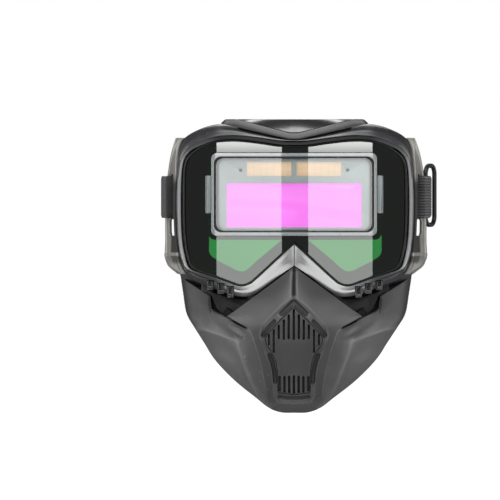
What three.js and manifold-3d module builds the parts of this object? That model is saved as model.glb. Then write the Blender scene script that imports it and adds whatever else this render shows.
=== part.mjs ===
// Welding goggles with an auto-darkening cartridge, a clip-on face mask and an
// elastic head strap. Millimetres, +Z up. The wearer looks along -Y, so small y is
// the front. In mesh names "right" is +X, the right-hand side as seen from the front.
// Origin: the centre of the cartridge's front cover plate, on its front face.
import * as THREE from 'three';
import { mergeVertices } from 'three/addons/utils/BufferGeometryUtils.js';
import Module from 'manifold-3d';

const wasm = await Module();
wasm.setup();

// ------------------------------------------------------------ driving dimensions
const WRAP_R = 125;                // plan radius of the wrap-round lens and frame
const GAP = 0.3;                   // clearance between neighbouring parts
const LENS_Y = 14;                 // front of the lens at its centre
const LENS_T = 2.1;
const COVER_W = 108;               // replaceable cover plate
const COVER_H = 51.3;
const BEZEL_W = 116;
const BEZEL_H = 58;
const HOUSING_W = 112.2;
const HOUSING_H = 54.2;
const LENS_HOLE_W = 116.8;
const LENS_HOLE_H = 58.8;
const CARTRIDGE_PLAY = 0.8;        // size difference of parts around the cartridge
const STRAP_LOW = -17;
const STRAP_HIGH = 12.7;
const MASK_T = 2.2;
const SIDES = [1, -1];

// how far the wrapped surfaces fall back at x
const wrap = (x) => WRAP_R - Math.sqrt(WRAP_R * WRAP_R - x * x);

// ------------------------------------------------------------ materials
const finish = (options) => new THREE.MeshStandardMaterial(options);
const MATERIAL = {
  satin: finish({ color: 0x1d1d1e, roughness: 0.35 }),
  matte: finish({ color: 0x3c3c3d, roughness: 0.6 }),
  smoke: finish({ color: 0x6e6c67, roughness: 0.3 }),
  rubber: finish({ color: 0x141414, roughness: 0.8 }),
  foam: finish({ color: 0x202022, roughness: 0.95 }),
  lens: finish({ color: 0x1f7a33, roughness: 0.05, transparent: true, opacity: 0.5 }),
  bezel: finish({ color: 0x949b9b, roughness: 0.25 }),
  panel: finish({ color: 0x828c8c, roughness: 0.4 }),
  glass: finish({ color: 0xdfe8e8, roughness: 0.05, transparent: true, opacity: 0.3 }),
  magenta: finish({ color: 0xff80f5, roughness: 0.1 }),
  solar: finish({ color: 0xe8c8a5, roughness: 0.3 }),
  board: finish({ color: 0x1f5a34, roughness: 0.5 }),
  steel: finish({ color: 0xb8b8bc, roughness: 0.3, metalness: 1 }),
  web: finish({ color: 0x2c2c2e, roughness: 0.85 }),
  wire: finish({ color: 0x161617, roughness: 0.3, metalness: 0.4 }),
  filter: finish({ color: 0x161617, roughness: 0.95 }),
};

// ------------------------------------------------------------ meshes and solids
// an indexed mesh, turned the right way out if its volume comes out negative
function meshFrom(positions, triangles) {
  const corner = (i) => new THREE.Vector3().fromArray(positions, triangles[i] * 3);
  const index = triangles.slice();
  let volume = 0;
  for (let i = 0; i < index.length; i += 3) {
    volume += corner(i).dot(corner(i + 1).cross(corner(i + 2)));
  }
  if (volume < 0) {
    for (let i = 0; i < index.length; i += 3) {
      [index[i + 1], index[i + 2]] = [index[i + 2], index[i + 1]];
    }
  }
  const mesh = new THREE.BufferGeometry();
  mesh.setAttribute('position', new THREE.Float32BufferAttribute(positions, 3));
  mesh.setIndex(index);
  mesh.computeVertexNormals();
  return mesh;
}

// a copy with shared corners, as booleans need it
function weld(shape) {
  const copy = shape.clone();
  copy.deleteAttribute('normal');
  copy.deleteAttribute('uv');
  return mergeVertices(copy, 1e-4);
}

const rebuild = ({ attributes, index }) =>
  meshFrom(Array.from(attributes.position.array), Array.from(index.array));
const mirrorX = (shape) => rebuild(weld(shape).scale(-1, 1, 1));

function solid(shape) {
  const welded = weld(shape);
  return new wasm.Manifold(new wasm.Mesh({
    numProp: 3,
    vertProperties: new Float32Array(welded.attributes.position.array),
    triVerts: new Uint32Array(welded.index.array),
  }));
}

function fromSolid(body) {
  const mesh = body.getMesh();
  return meshFrom(Array.from(mesh.vertProperties), Array.from(mesh.triVerts));
}

const cut = (shape, ...tools) =>
  fromSolid(tools.reduce((body, tool) => body.subtract(solid(tool)), solid(shape)));
const join = (shape, other) => fromSolid(solid(shape).add(solid(other)));
const common = (shape, other) => fromSolid(solid(shape).intersect(solid(other)));

// ------------------------------------------------------------ lofts and sheets
// triangles between two loops of equal count, given their first vertices
function stitch(first, second, count) {
  const triangles = [];
  for (let i = 0; i < count; i++) {
    const j = (i + 1) % count;
    triangles.push(first + i, first + j, second + j, first + i, second + j, second + i);
  }
  return triangles;
}

// closed both ways: a ring whose cross-section is one point from each loop
function ringLoft(loops) {
  const count = loops[0].length;
  return meshFrom(loops.flat(2), loops.flatMap((_, i) =>
    stitch(i * count, ((i + 1) % loops.length) * count, count)));
}

// the two coordinates in which the end caps of a loft are triangulated
const ALONG_X = [1, 2];
const ALONG_Y = [0, 2];
const ALONG_Z = [0, 1];

// sections (closed outlines of equal count) joined in a row, with end caps
function loft(sections, [capU, capV]) {
  const count = sections[0].length;
  const last = sections.length - 1;
  const triangles = [];
  for (let i = 0; i < last; i++) triangles.push(...stitch(i * count, (i + 1) * count, count));
  for (const end of [0, last]) {
    const outline = sections[end].map((p) => new THREE.Vector2(p[capU], p[capV]));
    // the two ends face opposite ways, and so do outlines of opposite sense
    const keep = (THREE.ShapeUtils.area(outline) > 0) === (end === last);
    for (const face of THREE.ShapeUtils.triangulateShape(outline, [])) {
      const [a, b, c] = face.map((corner) => end * count + corner);
      triangles.push(...(keep ? [a, b, c] : [a, c, b]));
    }
  }
  return meshFrom(sections.flat(2), triangles);
}

// a loft along x that follows the wrap; section(x, i) gives [y, z] points
const wrapLoft = (xs, section) => loft(
  xs.map((x, i) => section(x, i).map(([y, z]) => [x, y + wrap(x), z])), ALONG_X);

// an upright prism between heights z0 and z1 over a plan outline of [x, y]
const prism = (outline, z0, z1) =>
  loft([z0, z1].map((z) => outline.map(([x, y]) => [x, y, z])), ALONG_Z);

// a closed sheet between two equal grids of points
function sheet(front, back) {
  const rows = front.length;
  const columns = front[0].length;
  const triangles = [];
  const onFront = (i, j) => i * columns + j;
  const onBack = (i, j) => (rows + i) * columns + j;
  for (let i = 0; i < rows - 1; i++) {
    for (let j = 0; j < columns - 1; j++) {
      triangles.push(onFront(i, j), onFront(i + 1, j), onFront(i + 1, j + 1));
      triangles.push(onFront(i, j), onFront(i + 1, j + 1), onFront(i, j + 1));
      triangles.push(onBack(i, j), onBack(i + 1, j + 1), onBack(i + 1, j));
      triangles.push(onBack(i, j), onBack(i, j + 1), onBack(i + 1, j + 1));
    }
  }
  const edge = [];
  for (let j = 0; j < columns - 1; j++) edge.push([0, j]);
  for (let i = 0; i < rows - 1; i++) edge.push([i, columns - 1]);
  for (let j = columns - 1; j > 0; j--) edge.push([rows - 1, j]);
  for (let i = rows - 1; i > 0; i--) edge.push([i, 0]);
  edge.forEach((here, i) => {
    const next = edge[(i + 1) % edge.length];
    triangles.push(onFront(...here), onFront(...next), onBack(...next));
    triangles.push(onFront(...here), onBack(...next), onBack(...here));
  });
  return meshFrom([front, back].flat(3), triangles);
}

// a grid moved along its own normals
function offsetGrid(grid, distance) {
  const lastRow = grid.length - 1;
  const lastColumn = grid[0].length - 1;
  const between = (from, to) => new THREE.Vector3(...to).sub(new THREE.Vector3(...from));
  return grid.map((row, i) => row.map((point, j) => {
    const down = between(grid[Math.max(i - 1, 0)][j], grid[Math.min(i + 1, lastRow)][j]);
    const across = between(row[Math.max(j - 1, 0)], row[Math.min(j + 1, lastColumn)]);
    const normal = down.cross(across).normalize();
    return new THREE.Vector3(...point).addScaledVector(normal, distance).toArray();
  }));
}

// ------------------------------------------------------------ outlines
const vectors = (loop) => loop.map(([x, y]) => new THREE.Vector2(x, y));

// closed outline from the half at x >= 0 that starts and ends on the centre line
const wholeLoop = (half) =>
  half.concat(half.slice(1, -1).reverse().map(([x, z]) => [-x, z]));
// x stations from the outermost to 0, carried on to the other side
const bothSides = (xs) => xs.concat(xs.slice(0, -1).reverse().map((x) => -x));

// offset of a closed XZ outline along its own normals; positive goes inward
function inset(loop, distance) {
  const count = loop.length;
  const sense = THREE.ShapeUtils.area(vectors(loop)) > 0 ? 1 : -1;
  const direction = (from, to) => {
    const length = Math.hypot(to[0] - from[0], to[1] - from[1]);
    return [(to[0] - from[0]) / length, (to[1] - from[1]) / length];
  };
  return loop.map((point, i) => {
    const before = direction(loop[(i + count - 1) % count], point);
    const after = direction(point, loop[(i + 1) % count]);
    const normal = [-(before[1] + after[1]) * sense, (before[0] + after[0]) * sense];
    const length = Math.hypot(...normal);
    const miter = Math.max(length / 2, 0.6);   // limits the reach at sharp corners
    return point.map((value, k) => value + normal[k] / length * distance / miter);
  });
}

// outline a blended towards outline b, by a share and by a distance
const lerp = (a, b, share) => a + (b - a) * share;
const mixPoint = (p, q, share) => [lerp(p[0], q[0], share), lerp(p[1], q[1], share)];
const mix = (a, b, share) => a.map((p, i) => mixPoint(p, b[i], share));
const toward = (a, b, distance) => a.map((p, i) =>
  mixPoint(p, b[i], distance / Math.hypot(b[i][0] - p[0], b[i][1] - p[1])));

// a closed outline pulled onto a rectangle, one station moved to each corner
function pullToRect(loop, width, height) {
  const out = loop.map(([x, z]) => {
    const scale = Math.min(width / 2 / Math.max(Math.abs(x), 1e-6),
      height / 2 / Math.max(Math.abs(z), 1e-6));
    return [x * scale, z * scale];
  });
  for (const [sideX, sideZ] of [[1, 1], [1, -1], [-1, -1], [-1, 1]]) {
    const cornerAngle = Math.atan2(sideZ * height, sideX * width);
    const errors = loop.map(([x, z]) => Math.abs(Math.atan2(z, x) - cornerAngle));
    const nearest = errors.indexOf(Math.min(...errors));
    out[nearest] = [sideX * width / 2, sideZ * height / 2];
  }
  return out;
}

// rounded rectangle from u0, v0 to u1, v1, turning from +u to +v
function roundedLoop(u0, u1, v0, v1, radius, steps) {
  const corners = [
    [u1 - radius, v1 - radius], [u0 + radius, v1 - radius],
    [u0 + radius, v0 + radius], [u1 - radius, v0 + radius],
  ];
  return corners.flatMap(([u, v], quarter) => Array.from({ length: steps + 1 }, (_, i) => {
    const angle = (quarter + i / steps) * Math.PI / 2;
    return [u + radius * Math.cos(angle), v + radius * Math.sin(angle)];
  }));
}

// centred XZ rounded rectangle, clockwise seen from the front, from the top right corner
const roundRect = (width, height, radius) =>
  roundedLoop(-height / 2, height / 2, -width / 2, width / 2, radius, 4)
    .map(([z, x]) => [x, z]);

// an XZ outline at depth y, and one that falls back with the wrap (y may be a list)
const atDepth = (loop, y) => loop.map(([x, z]) => [x, y, z]);
const wrapped = (loop, y) =>
  loop.map(([x, z], i) => [x, (Array.isArray(y) ? y[i] : y) + wrap(x), z]);
// rings from rows of [outline, y]
const flatRing = (rows) => ringLoft(rows.map(([loop, y]) => atDepth(loop, y)));
const wrapRing = (rows) => ringLoft(rows.map(([loop, y]) => wrapped(loop, y)));

// ------------------------------------------------------------ simple bodies
function box(x0, x1, y0, y1, z0, z1) {
  const shape = new THREE.BoxGeometry(x1 - x0, y1 - y0, z1 - z0);
  return shape.translate((x0 + x1) / 2, (y0 + y1) / 2, (z0 + z1) / 2);
}

function extrudeXZ(loop, y0, y1) {
  const shape = new THREE.ExtrudeGeometry(new THREE.Shape(vectors(loop)),
    { depth: y1 - y0, bevelEnabled: false });
  shape.rotateX(Math.PI / 2);      // shape y becomes z, depth runs along -y
  shape.translate(0, y1, 0);
  return rebuild(weld(shape));
}

const plate = (width, height, radius, y0, y1, centreX = 0, centreZ = 0) => extrudeXZ(
  roundRect(width, height, radius).map(([x, z]) => [x + centreX, z + centreZ]), y0, y1);

function disc(x, z, radius, y0, y1, segments = 12) {
  const shape = new THREE.CylinderGeometry(radius, radius, y1 - y0, segments);
  return rebuild(weld(shape.translate(x, (y0 + y1) / 2, z)));
}

const root = new THREE.Group();
function add(name, shape, material) {
  const mesh = new THREE.Mesh(shape, material);
  mesh.name = name;
  root.add(mesh);
}
// a part at +X and its mirror image
function addPair(stem, shape, material, ending = '') {
  add(`${stem}_right${ending}`, shape, material);
  add(`${stem}_left${ending}`, mirrorX(shape), material);
}

// ------------------------------------------------------------ frame
// lens opening and frame outline, one half, from the top centre round to the nose:
// inner x, inner z, outer x, outer z
const RIM = [
  [0, 34.4, 0, 40], [10, 34.7, 10, 41.5], [25, 36.8, 26, 45], [42, 38.4, 43, 48.7],
  [55, 37.6, 55, 49.2], [64.5, 34.8, 68, 45.5], [73, 29.3, 78, 39.5], [77, 24, 82, 32],
  [78.6, 17, 83.3, 22], [79, 0, 84, 0], [79, -15, 84, -14], [78.3, -30, 83.3, -30],
  [76.5, -42, 82, -42], [73, -51.8, 79, -52], [66, -55.2, 72, -60], [57, -58, 60, -65],
  [47, -61.7, 48, -69.7], [37.5, -64.6, 38, -71.8], [31, -62.8, 30, -71.3],
  [27, -59.6, 24.5, -68], [15, -48.5, 10, -57], [0, -34.8, 0, -50],
];
// front face of the frame, y at inner edge, ridge and outer edge: the last three
// stations at the nose come forward of the rest
const RIM_FACE = [11.5, 12, 18];
const NOSE_FACE = [[11, 11, 15], [10.2, 9.6, 12], [9, 6.5, 8]];
const FRAME_BACK = 34.6;           // rear edge of the frame wall
const FRAME_WALL = 2.4;
const LEDGE_WIDTH = 4;             // inward flange behind the lens
const LEDGE_FRONT = 18.4;
const LEDGE_BACK = 20.4;
// clips in the lower bar, from the outermost in: x, top z, bottom z of the notch
const CLIPS = [[59.4, -60.4, -67.2], [51.9, -62.4, -69.9], [45, -64.4, -72.6]];
// mask pegs: inner x, outer x, bottom z, top z
const PEGS = [[27, 33, -78, -65.5], [61, 66, -72, -58.5]];

const inner = wholeLoop(RIM.map(([x, z]) => [x, z]));
const outer = wholeLoop(RIM.map(([, , x, z]) => [x, z]));

function makeFrame() {
  const half = RIM.map((_, i) => NOSE_FACE[i - RIM.length + NOSE_FACE.length] ?? RIM_FACE);
  const face = half.concat(half.slice(1, -1).reverse());
  const ledge = inset(inner, LEDGE_WIDTH);
  const wall = toward(outer, inner, FRAME_WALL);
  let frame = wrapRing([
    [outer, face.map((y) => y[2])],
    [mix(outer, inner, 0.35), face.map((y) => y[1])],
    [inner, face.map((y) => y[0])],
    [inner, LEDGE_FRONT],
    [ledge, LEDGE_FRONT],
    [ledge, LEDGE_BACK],
    [wall, LEDGE_BACK],
    [wall, FRAME_BACK],
    [outer, FRAME_BACK],
  ]);
  for (const side of SIDES) {
    for (const [x, top, bottom] of CLIPS) {
      const y = wrap(x);
      const centre = side * x;
      frame = cut(frame, box(centre - 2.6, centre + 2.6, y + 5, y + 22.5, bottom - 8, top));
    }
    for (const [x0, x1] of PEGS) {
      const y = wrap((x0 + x1) / 2);
      const centre = side * (x0 + x1) / 2;
      const half = (x1 - x0) / 2 + 0.5;
      frame = cut(frame, box(centre - half, centre + half, y + 24, y + 28, -80, -57));
    }
  }
  return frame;
}
add('goggle_frame', makeFrame(), MATERIAL.satin);

CLIPS.slice().reverse().forEach(([x, top, bottom], i) => {
  const y = wrap(x);
  const clip = cut(box(x - 2.2, x + 2.2, y + 12.8, y + 22, bottom, top - 0.4),
    box(x - 1.1, x + 1.1, y + 11, y + 17, bottom + 2.6, top + 1));
  addPair('vent_clip', clip, MATERIAL.satin, `_${i + 1}`);
});

// ------------------------------------------------------------ brow
const BROW_TOP = 52.8;
const BAND_XS = bothSides([52, 46, 41.3, 34, 26, 18, 11, 6, 3, 0]);
const PANEL_XS = bothSides([38, 30, 22, 14, 7, 3, 0]);
const FOAM_XS = bothSides([44, 36, 26, 18, 10, 0]);

// height of the rim's upper edge at x, read from one pair of RIM columns
function rimHeight(x, columnX, columnZ) {
  const distance = Math.abs(x);
  const i = RIM.findIndex((row, k) => k > 0 && distance <= row[columnX]);
  const [a, b] = [RIM[i - 1], RIM[i]];
  return lerp(a[columnZ], b[columnZ],
    (distance - a[columnX]) / (b[columnX] - a[columnX]));
}
const openingTop = (x) => rimHeight(x, 0, 1);
const frameTop = (x) => rimHeight(x, 2, 3);

// edges of the band: level at the centre, then rising; the top levels off again
const bandLow = (x) => 38.6 + Math.max(0, Math.abs(x) - 6) * 11 / 45.5;
const bandHigh = (x) =>
  Math.min(BROW_TOP, 43 + Math.max(0, Math.abs(x) - 3) * (BROW_TOP - 43) / (41.3 - 3));

add('brow_band', wrapLoft(BAND_XS, (x) => [
  [9.3, bandLow(x)], [10.4, bandHigh(x)], [13.4, bandHigh(x)], [11.2, bandLow(x)],
]), MATERIAL.satin);

add('brow_panel', wrapLoft(PANEL_XS, (x) => {
  const low = bandHigh(x) + GAP;
  const bottom = frameTop(x) + 0.8;
  return [[12, low], [19, BROW_TOP], [31, BROW_TOP], [31, bottom], [14.4, bottom], [14.4, low]];
}), MATERIAL.satin);

add('vent_foam_top', wrapLoft(FOAM_XS, (x) => {
  const low = openingTop(x) - 1.5;
  const high = frameTop(x) - 3.4;
  return [[22, low], [22, high], [32, high], [32, low]];
}), MATERIAL.foam);

// ------------------------------------------------------------ lens and gaskets
// a lip round the lens edge and a seat behind it
const gasketOuter = inset(inner, GAP);
const gasketLip = inset(inner, 1.1);
const gasketInner = inset(inner, 3.6);
add('lens_gasket', wrapRing([
  [gasketOuter, 12.9], [gasketLip, 12.9], [gasketLip, 16.5],
  [gasketInner, 16.5], [gasketInner, 18], [gasketOuter, 18],
]), MATERIAL.rubber);

// an annular sheet with one station halfway between its edges
const wrapSheet = (edge, hole, front, back) => wrapRing([
  [edge, front], [mix(edge, hole, 0.5), front], [hole, front],
  [hole, back], [mix(edge, hole, 0.5), back], [edge, back],
]);
const lensHole = pullToRect(inner, LENS_HOLE_W, LENS_HOLE_H);
add('front_lens', wrapSheet(inset(inner, 1.45), lensHole, LENS_Y, LENS_Y + LENS_T),
  MATERIAL.lens);

const cartridgeGasketOuter =
  pullToRect(inner, LENS_HOLE_W - CARTRIDGE_PLAY, LENS_HOLE_H - CARTRIDGE_PLAY);
const cartridgeGasketInner =
  pullToRect(inner, HOUSING_W + CARTRIDGE_PLAY, HOUSING_H + CARTRIDGE_PLAY);
add('cartridge_gasket', wrapRing([
  [cartridgeGasketOuter, LENS_Y - 0.6], [cartridgeGasketInner, LENS_Y - 0.6],
  [cartridgeGasketInner, LENS_Y + 2.8], [cartridgeGasketOuter, LENS_Y + 2.8],
]), MATERIAL.rubber);

// ------------------------------------------------------------ inner frame, skirt, foam
// opening of the inner frame, one half, stations matching RIM: x, z
const EYE = wholeLoop([
  [0, 30], [9, 29.8], [21, 29.4], [33, 28.6], [42, 28], [48, 27.4], [53.5, 23.6], [57, 20],
  [59.5, 15], [59.5, 0], [59.5, -14], [59.5, -27], [59.5, -36], [59.5, -40], [58.4, -43],
  [54, -46.8], [46.5, -51], [40, -54], [35.5, -54], [26, -46.2], [8.5, -31.6], [0, -25],
]);
add('inner_frame', wrapSheet(inset(outer, 0.8), EYE, 35, 37), MATERIAL.rubber);

// a wall running back, with a lip turned inward at its rear
const SKIRT_FRONT = 37.4;
add('face_skirt', wrapRing([
  [inset(outer, 0.6), SKIRT_FRONT], [inset(outer, 1.2), 48.6], [inset(outer, 9), 49.4],
  [inset(outer, 9), 47.8], [inset(outer, 3), 46.8], [inset(outer, 3), SKIRT_FRONT],
]), MATERIAL.rubber);

// the rear face is flat at the top centre and follows the wrap elsewhere
const FOAM_FRONT = 49.8;
const foamRear = (loop) => loop.map(([x, z]) =>
  [x, (z > 20 && Math.abs(x) < 30) ? 59.6 : 57.4 + wrap(x), z]);
const foamOuter = inset(outer, 2);
const foamInner = inset(outer, 9.4);
add('face_foam', ringLoft([
  wrapped(foamOuter, FOAM_FRONT), foamRear(foamOuter),
  foamRear(foamInner), wrapped(foamInner, FOAM_FRONT),
]), MATERIAL.foam);

// ------------------------------------------------------------ strap wings
const WING_T = 3;
const WING_SHIFT = 0.9;            // outward shift of the whole wing
const WING_FRONT = [84.7, 51];     // ends of the straight middle part, in plan
const WING_REAR = [90.9, 74.6];
const WING = [                     // z, front x, front y, rear x, rear y
  [39.8, 79.9, 46.4, 83.3, 50], [30, 83.2, 49, 86.4, 59], [22, 84.2, 50.4, 88.8, 68],
  [16, ...WING_FRONT, ...WING_REAR], [-32, ...WING_FRONT, ...WING_REAR],
  [-42, 83.4, 50.4, 91.3, 75], [-50, 81.4, 50, 89, 68], [-56.5, 77.6, 47.6, 81.7, 54],
];
const SLOT_FRONT = 6.6;            // strap slot, measured along the wing
const SLOT_REAR = 11.6;

const wingLength = Math.hypot(WING_REAR[0] - WING_FRONT[0], WING_REAR[1] - WING_FRONT[1]);
const wingRun = WING_REAR.map((value, k) => (value - WING_FRONT[k]) / wingLength);
// plan point in the middle part, from a distance along the wing and one outward
const onWing = ([along, outward]) => [
  WING_FRONT[0] + WING_SHIFT + wingRun[0] * along + wingRun[1] * outward,
  WING_FRONT[1] + wingRun[1] * along - wingRun[0] * outward,
];

function makeWing() {
  const body = loft(WING.map(([z, frontX, frontY, rearX, rearY]) => {
    const length = Math.hypot(rearX - frontX, rearY - frontY);
    const halfX = (rearY - frontY) / length * WING_T / 2;
    const halfY = -(rearX - frontX) / length * WING_T / 2;
    const at = (x, y, side) => [x + side * halfX + WING_SHIFT, y + side * halfY, z];
    return [at(frontX, frontY, -1), at(rearX, rearY, -1),
      at(rearX, rearY, 1), at(frontX, frontY, 1)];
  }), ALONG_Z);
  const slot = [[SLOT_FRONT, -5], [SLOT_REAR, -5], [SLOT_REAR, 5], [SLOT_FRONT, 5]];
  return cut(body, prism(slot.map(onWing), -29, 14));
}
addPair('strap_wing', makeWing(), MATERIAL.smoke);

// ------------------------------------------------------------ strap
const LOOP_T = 1.7;                // webbing round the bar behind the slot
const WEB_T = 2;                   // rear webbing

// webbing through the wing slot, round the bar, with a tail running back to tailEnd
function endLoop(tailEnd) {
  const front = SLOT_REAR - GAP;
  const rear = wingLength + 0.4;
  const half = WING_T / 2 + GAP;
  const around = (grow, radius) => roundedLoop(
    front - grow, rear + grow, -half - grow, half + grow, radius, 3).map(onWing);
  const tail = [[91.4, 76], [93.9, 74], [93, 84], [93, tailEnd], [91.4, tailEnd], [91.4, 84]];
  return fromSolid(solid(prism(around(LOOP_T, 1.6), STRAP_LOW, STRAP_HIGH))
    .add(solid(prism(tail, STRAP_LOW, STRAP_HIGH)))
    .subtract(solid(prism(around(0, 0.8), STRAP_LOW - 1, STRAP_HIGH + 1))));
}
add('strap_end_right', endLoop(88), MATERIAL.web);
add('strap_end_left', mirrorX(endLoop(112)), MATERIAL.web);

// inner face of the rear webbing in plan, from right to left round the back: x, y
const STRAP_PATH = [
  [94.6, 84], [94.6, 110], [94.6, 152], [90, 168], [80, 180], [64, 189], [42, 195],
  [20, 198], [0, 199], [-20, 198], [-40, 194.5], [-58, 187], [-72, 177], [-82, 163],
  [-87.5, 146], [-89.1, 130], [-89.1, 94],
];
function strapSection([x, y], i) {
  const last = STRAP_PATH.length - 1;
  const before = STRAP_PATH[Math.max(i - 1, 0)];
  const after = STRAP_PATH[Math.min(i + 1, last)];
  const length = Math.hypot(after[0] - before[0], after[1] - before[1]);
  let outward = [(after[1] - before[1]) / length, -(after[0] - before[0]) / length];
  // the first two and last two stations are square to x
  if (i <= 1) outward = [1, 0];
  if (i >= last - 1) outward = [-1, 0];
  const outerX = x + outward[0] * WEB_T;
  const outerY = y + outward[1] * WEB_T;
  return [[x, y, STRAP_LOW], [outerX, outerY, STRAP_LOW],
    [outerX, outerY, STRAP_HIGH], [x, y, STRAP_HIGH]];
}
add('strap_rear', loft(STRAP_PATH.map(strapSection), ALONG_Y), MATERIAL.web);

// adjuster: an upright rounded wire loop set diagonally across the webbing
const ADJUSTER = {
  front: [93, 101],                // plan ends of the wire's centre line
  rear: [99.8, 117],
  centreZ: -1,
  halfHeight: 21,
  cornerRadius: 6,
  wireRadius: 1.3,
  wireSides: 8,
};
function makeAdjuster() {
  const { front, rear, centreZ, halfHeight, cornerRadius, wireRadius, wireSides } = ADJUSTER;
  const start = new THREE.Vector3(...front, centreZ);
  const run = new THREE.Vector3(...rear, centreZ).sub(start);
  const width = run.length();
  run.normalize();
  const normal = new THREE.Vector3(run.y, -run.x, 0);
  const path = roundedLoop(0, width, -halfHeight, halfHeight, cornerRadius, 4)
    .map(([along, z]) => start.clone().addScaledVector(run, along).setZ(centreZ + z));
  const count = path.length;
  return ringLoft(path.map((point, i) => {
    const tangent = path[(i + 1) % count].clone().sub(path[(i + count - 1) % count]);
    const side = tangent.normalize().cross(normal).normalize();
    return Array.from({ length: wireSides }, (_, j) => {
      const angle = 2 * Math.PI * j / wireSides;
      return point.clone().addScaledVector(normal, wireRadius * Math.cos(angle))
        .addScaledVector(side, wireRadius * Math.sin(angle)).toArray();
    });
  }));
}
add('strap_adjuster', makeAdjuster(), MATERIAL.wire);

// ------------------------------------------------------------ cartridge
const BEZEL_BACK = 9;
const HOUSING_FRONT = 3.6;
const HOUSING_BACK = 34;
const HOUSING_WALL = 1.4;
const INSERT = [108.6, 50.6, 1.2];   // front panel and rear cover: width, height, radius
const FILTER = [98, 33.6, 0.4];      // filter glass and shutter: width, height, radius
const FILTER_Z = -7.6;
const SOLAR_X = 17.5;
const SOLAR_Z = 17.8;
const SENSOR_X = 37.5;
const SENSOR_Z = 17;
const BOARD_Z = 17.6;

const bezelOuter = roundRect(BEZEL_W, BEZEL_H, 4);
const coverRecess = roundRect(COVER_W + 2 * GAP, COVER_H + 2 * GAP, 6);
const bezelWindow = roundRect(106, 49.4, 5);
const housingRecess =
  roundRect(HOUSING_W + CARTRIDGE_PLAY, HOUSING_H + CARTRIDGE_PLAY, 2.6);
add('cartridge_bezel', flatRing([
  [bezelOuter, BEZEL_BACK], [bezelOuter, 0.7], [roundRect(BEZEL_W - 1.4, BEZEL_H - 1.4, 3.4), 0],
  [coverRecess, 0], [coverRecess, 2.1],
  [bezelWindow, 2.1], [bezelWindow, 3.2],
  [housingRecess, 3.2], [housingRecess, BEZEL_BACK],
]), MATERIAL.bezel);
add('cover_plate_front', plate(COVER_W, COVER_H, 5.7, 0, 1.7), MATERIAL.glass);

const housingOuter = roundRect(HOUSING_W, HOUSING_H, 2.2);
const housingInner =
  roundRect(HOUSING_W - 2 * HOUSING_WALL, HOUSING_H - 2 * HOUSING_WALL, 1.4);
add('cartridge_housing', flatRing([
  [housingOuter, HOUSING_FRONT], [housingInner, HOUSING_FRONT],
  [housingInner, HOUSING_BACK], [housingOuter, HOUSING_BACK],
]), MATERIAL.bezel);

// openings for the filter, the two solar cells and the two arc sensors
add('front_panel', cut(plate(...INSERT, 3.7, 4.7),
  box(-47.2, 47.2, 0, 8, -23, 7.7),
  box(1.75, 33.2, 0, 8, 12.9, 22.7),
  box(-33.2, -1.75, 0, 8, 12.9, 22.7),
  ...SIDES.map((side) => disc(side * SENSOR_X, SENSOR_Z, 1.3, 0, 8))), MATERIAL.panel);
add('filter_glass', plate(...FILTER, 5, 6.2, 0, FILTER_Z), MATERIAL.magenta);
add('lcd_shutter', plate(...FILTER, 6.5, 9.3, 0, FILTER_Z), MATERIAL.magenta);
for (const [name, side] of [['right', 1], ['left', -1]]) {
  add(`solar_cell_${name}`, plate(33, 11.4, 0.3, 5, 5.7, side * SOLAR_X, SOLAR_Z),
    MATERIAL.solar);
  add(`arc_sensor_${name}`, disc(side * SENSOR_X, SENSOR_Z, 1.7, 5, 6.8), MATERIAL.rubber);
}
add('circuit_board', plate(106, 14, 0.6, 7.1, 8.5, 0, BOARD_Z), MATERIAL.board);
add('backup_cell', disc(-24, BOARD_Z, 6, 8.8, 11.4, 24), MATERIAL.steel);
add('cover_plate_rear', plate(...INSERT, 12, 13.2), MATERIAL.glass);

// latch: an arm with a ramped outer front and its rear corners cut away
addPair('cartridge_latch', cut(
  box(58.4, 62.3, 2.4, 21, -13.2, 13.2),
  prism([[60.6, 1], [63, 1], [63, 9.5], [62.5, 9.5]], -14, 14),
  box(60, 64, 12, 24, -20, -9),
  box(60, 64, 12, 24, 9, 20)), MATERIAL.bezel);

// ------------------------------------------------------------ mask shell
// front piece, nose triangle and muzzle: z, edge x, edge y, centre y
const MUZZLE = [
  [-50.8, 0.8, 5.2, 5], [-54.5, 5, 6.2, 3.2], [-58.3, 10, 8, 1.2], [-65.7, 20, 11, -3],
  [-73.1, 30, 13, -6.2], [-80.5, 40, 17, -8.6], [-85.6, 47.4, 20, -9.6],
  [-86.8, 45.6, 18.6, -9.8], [-90.4, 39, 12.8, -10.3], [-94.5, 32, 7, -10.6],
  [-103.5, 28, 3, -10.6], [-113, 25.2, 2.8, -9.6], [-122.4, 22.8, 3.4, -8],
  [-131, 21.2, 4.6, -5.2], [-139.9, 19.8, 7, -1.2], [-146, 18.6, 10.5, 3],
  [-150, 16.6, 13.2, 8], [-152.6, 9.5, 14.2, 11.6],
];
// stations across the muzzle, as shares of the edge x
const MUZZLE_ACROSS =
  [-1, -0.86, -0.7, -0.52, -0.34, -0.16, 0, 0.16, 0.34, 0.52, 0.7, 0.86, 1];
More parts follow.
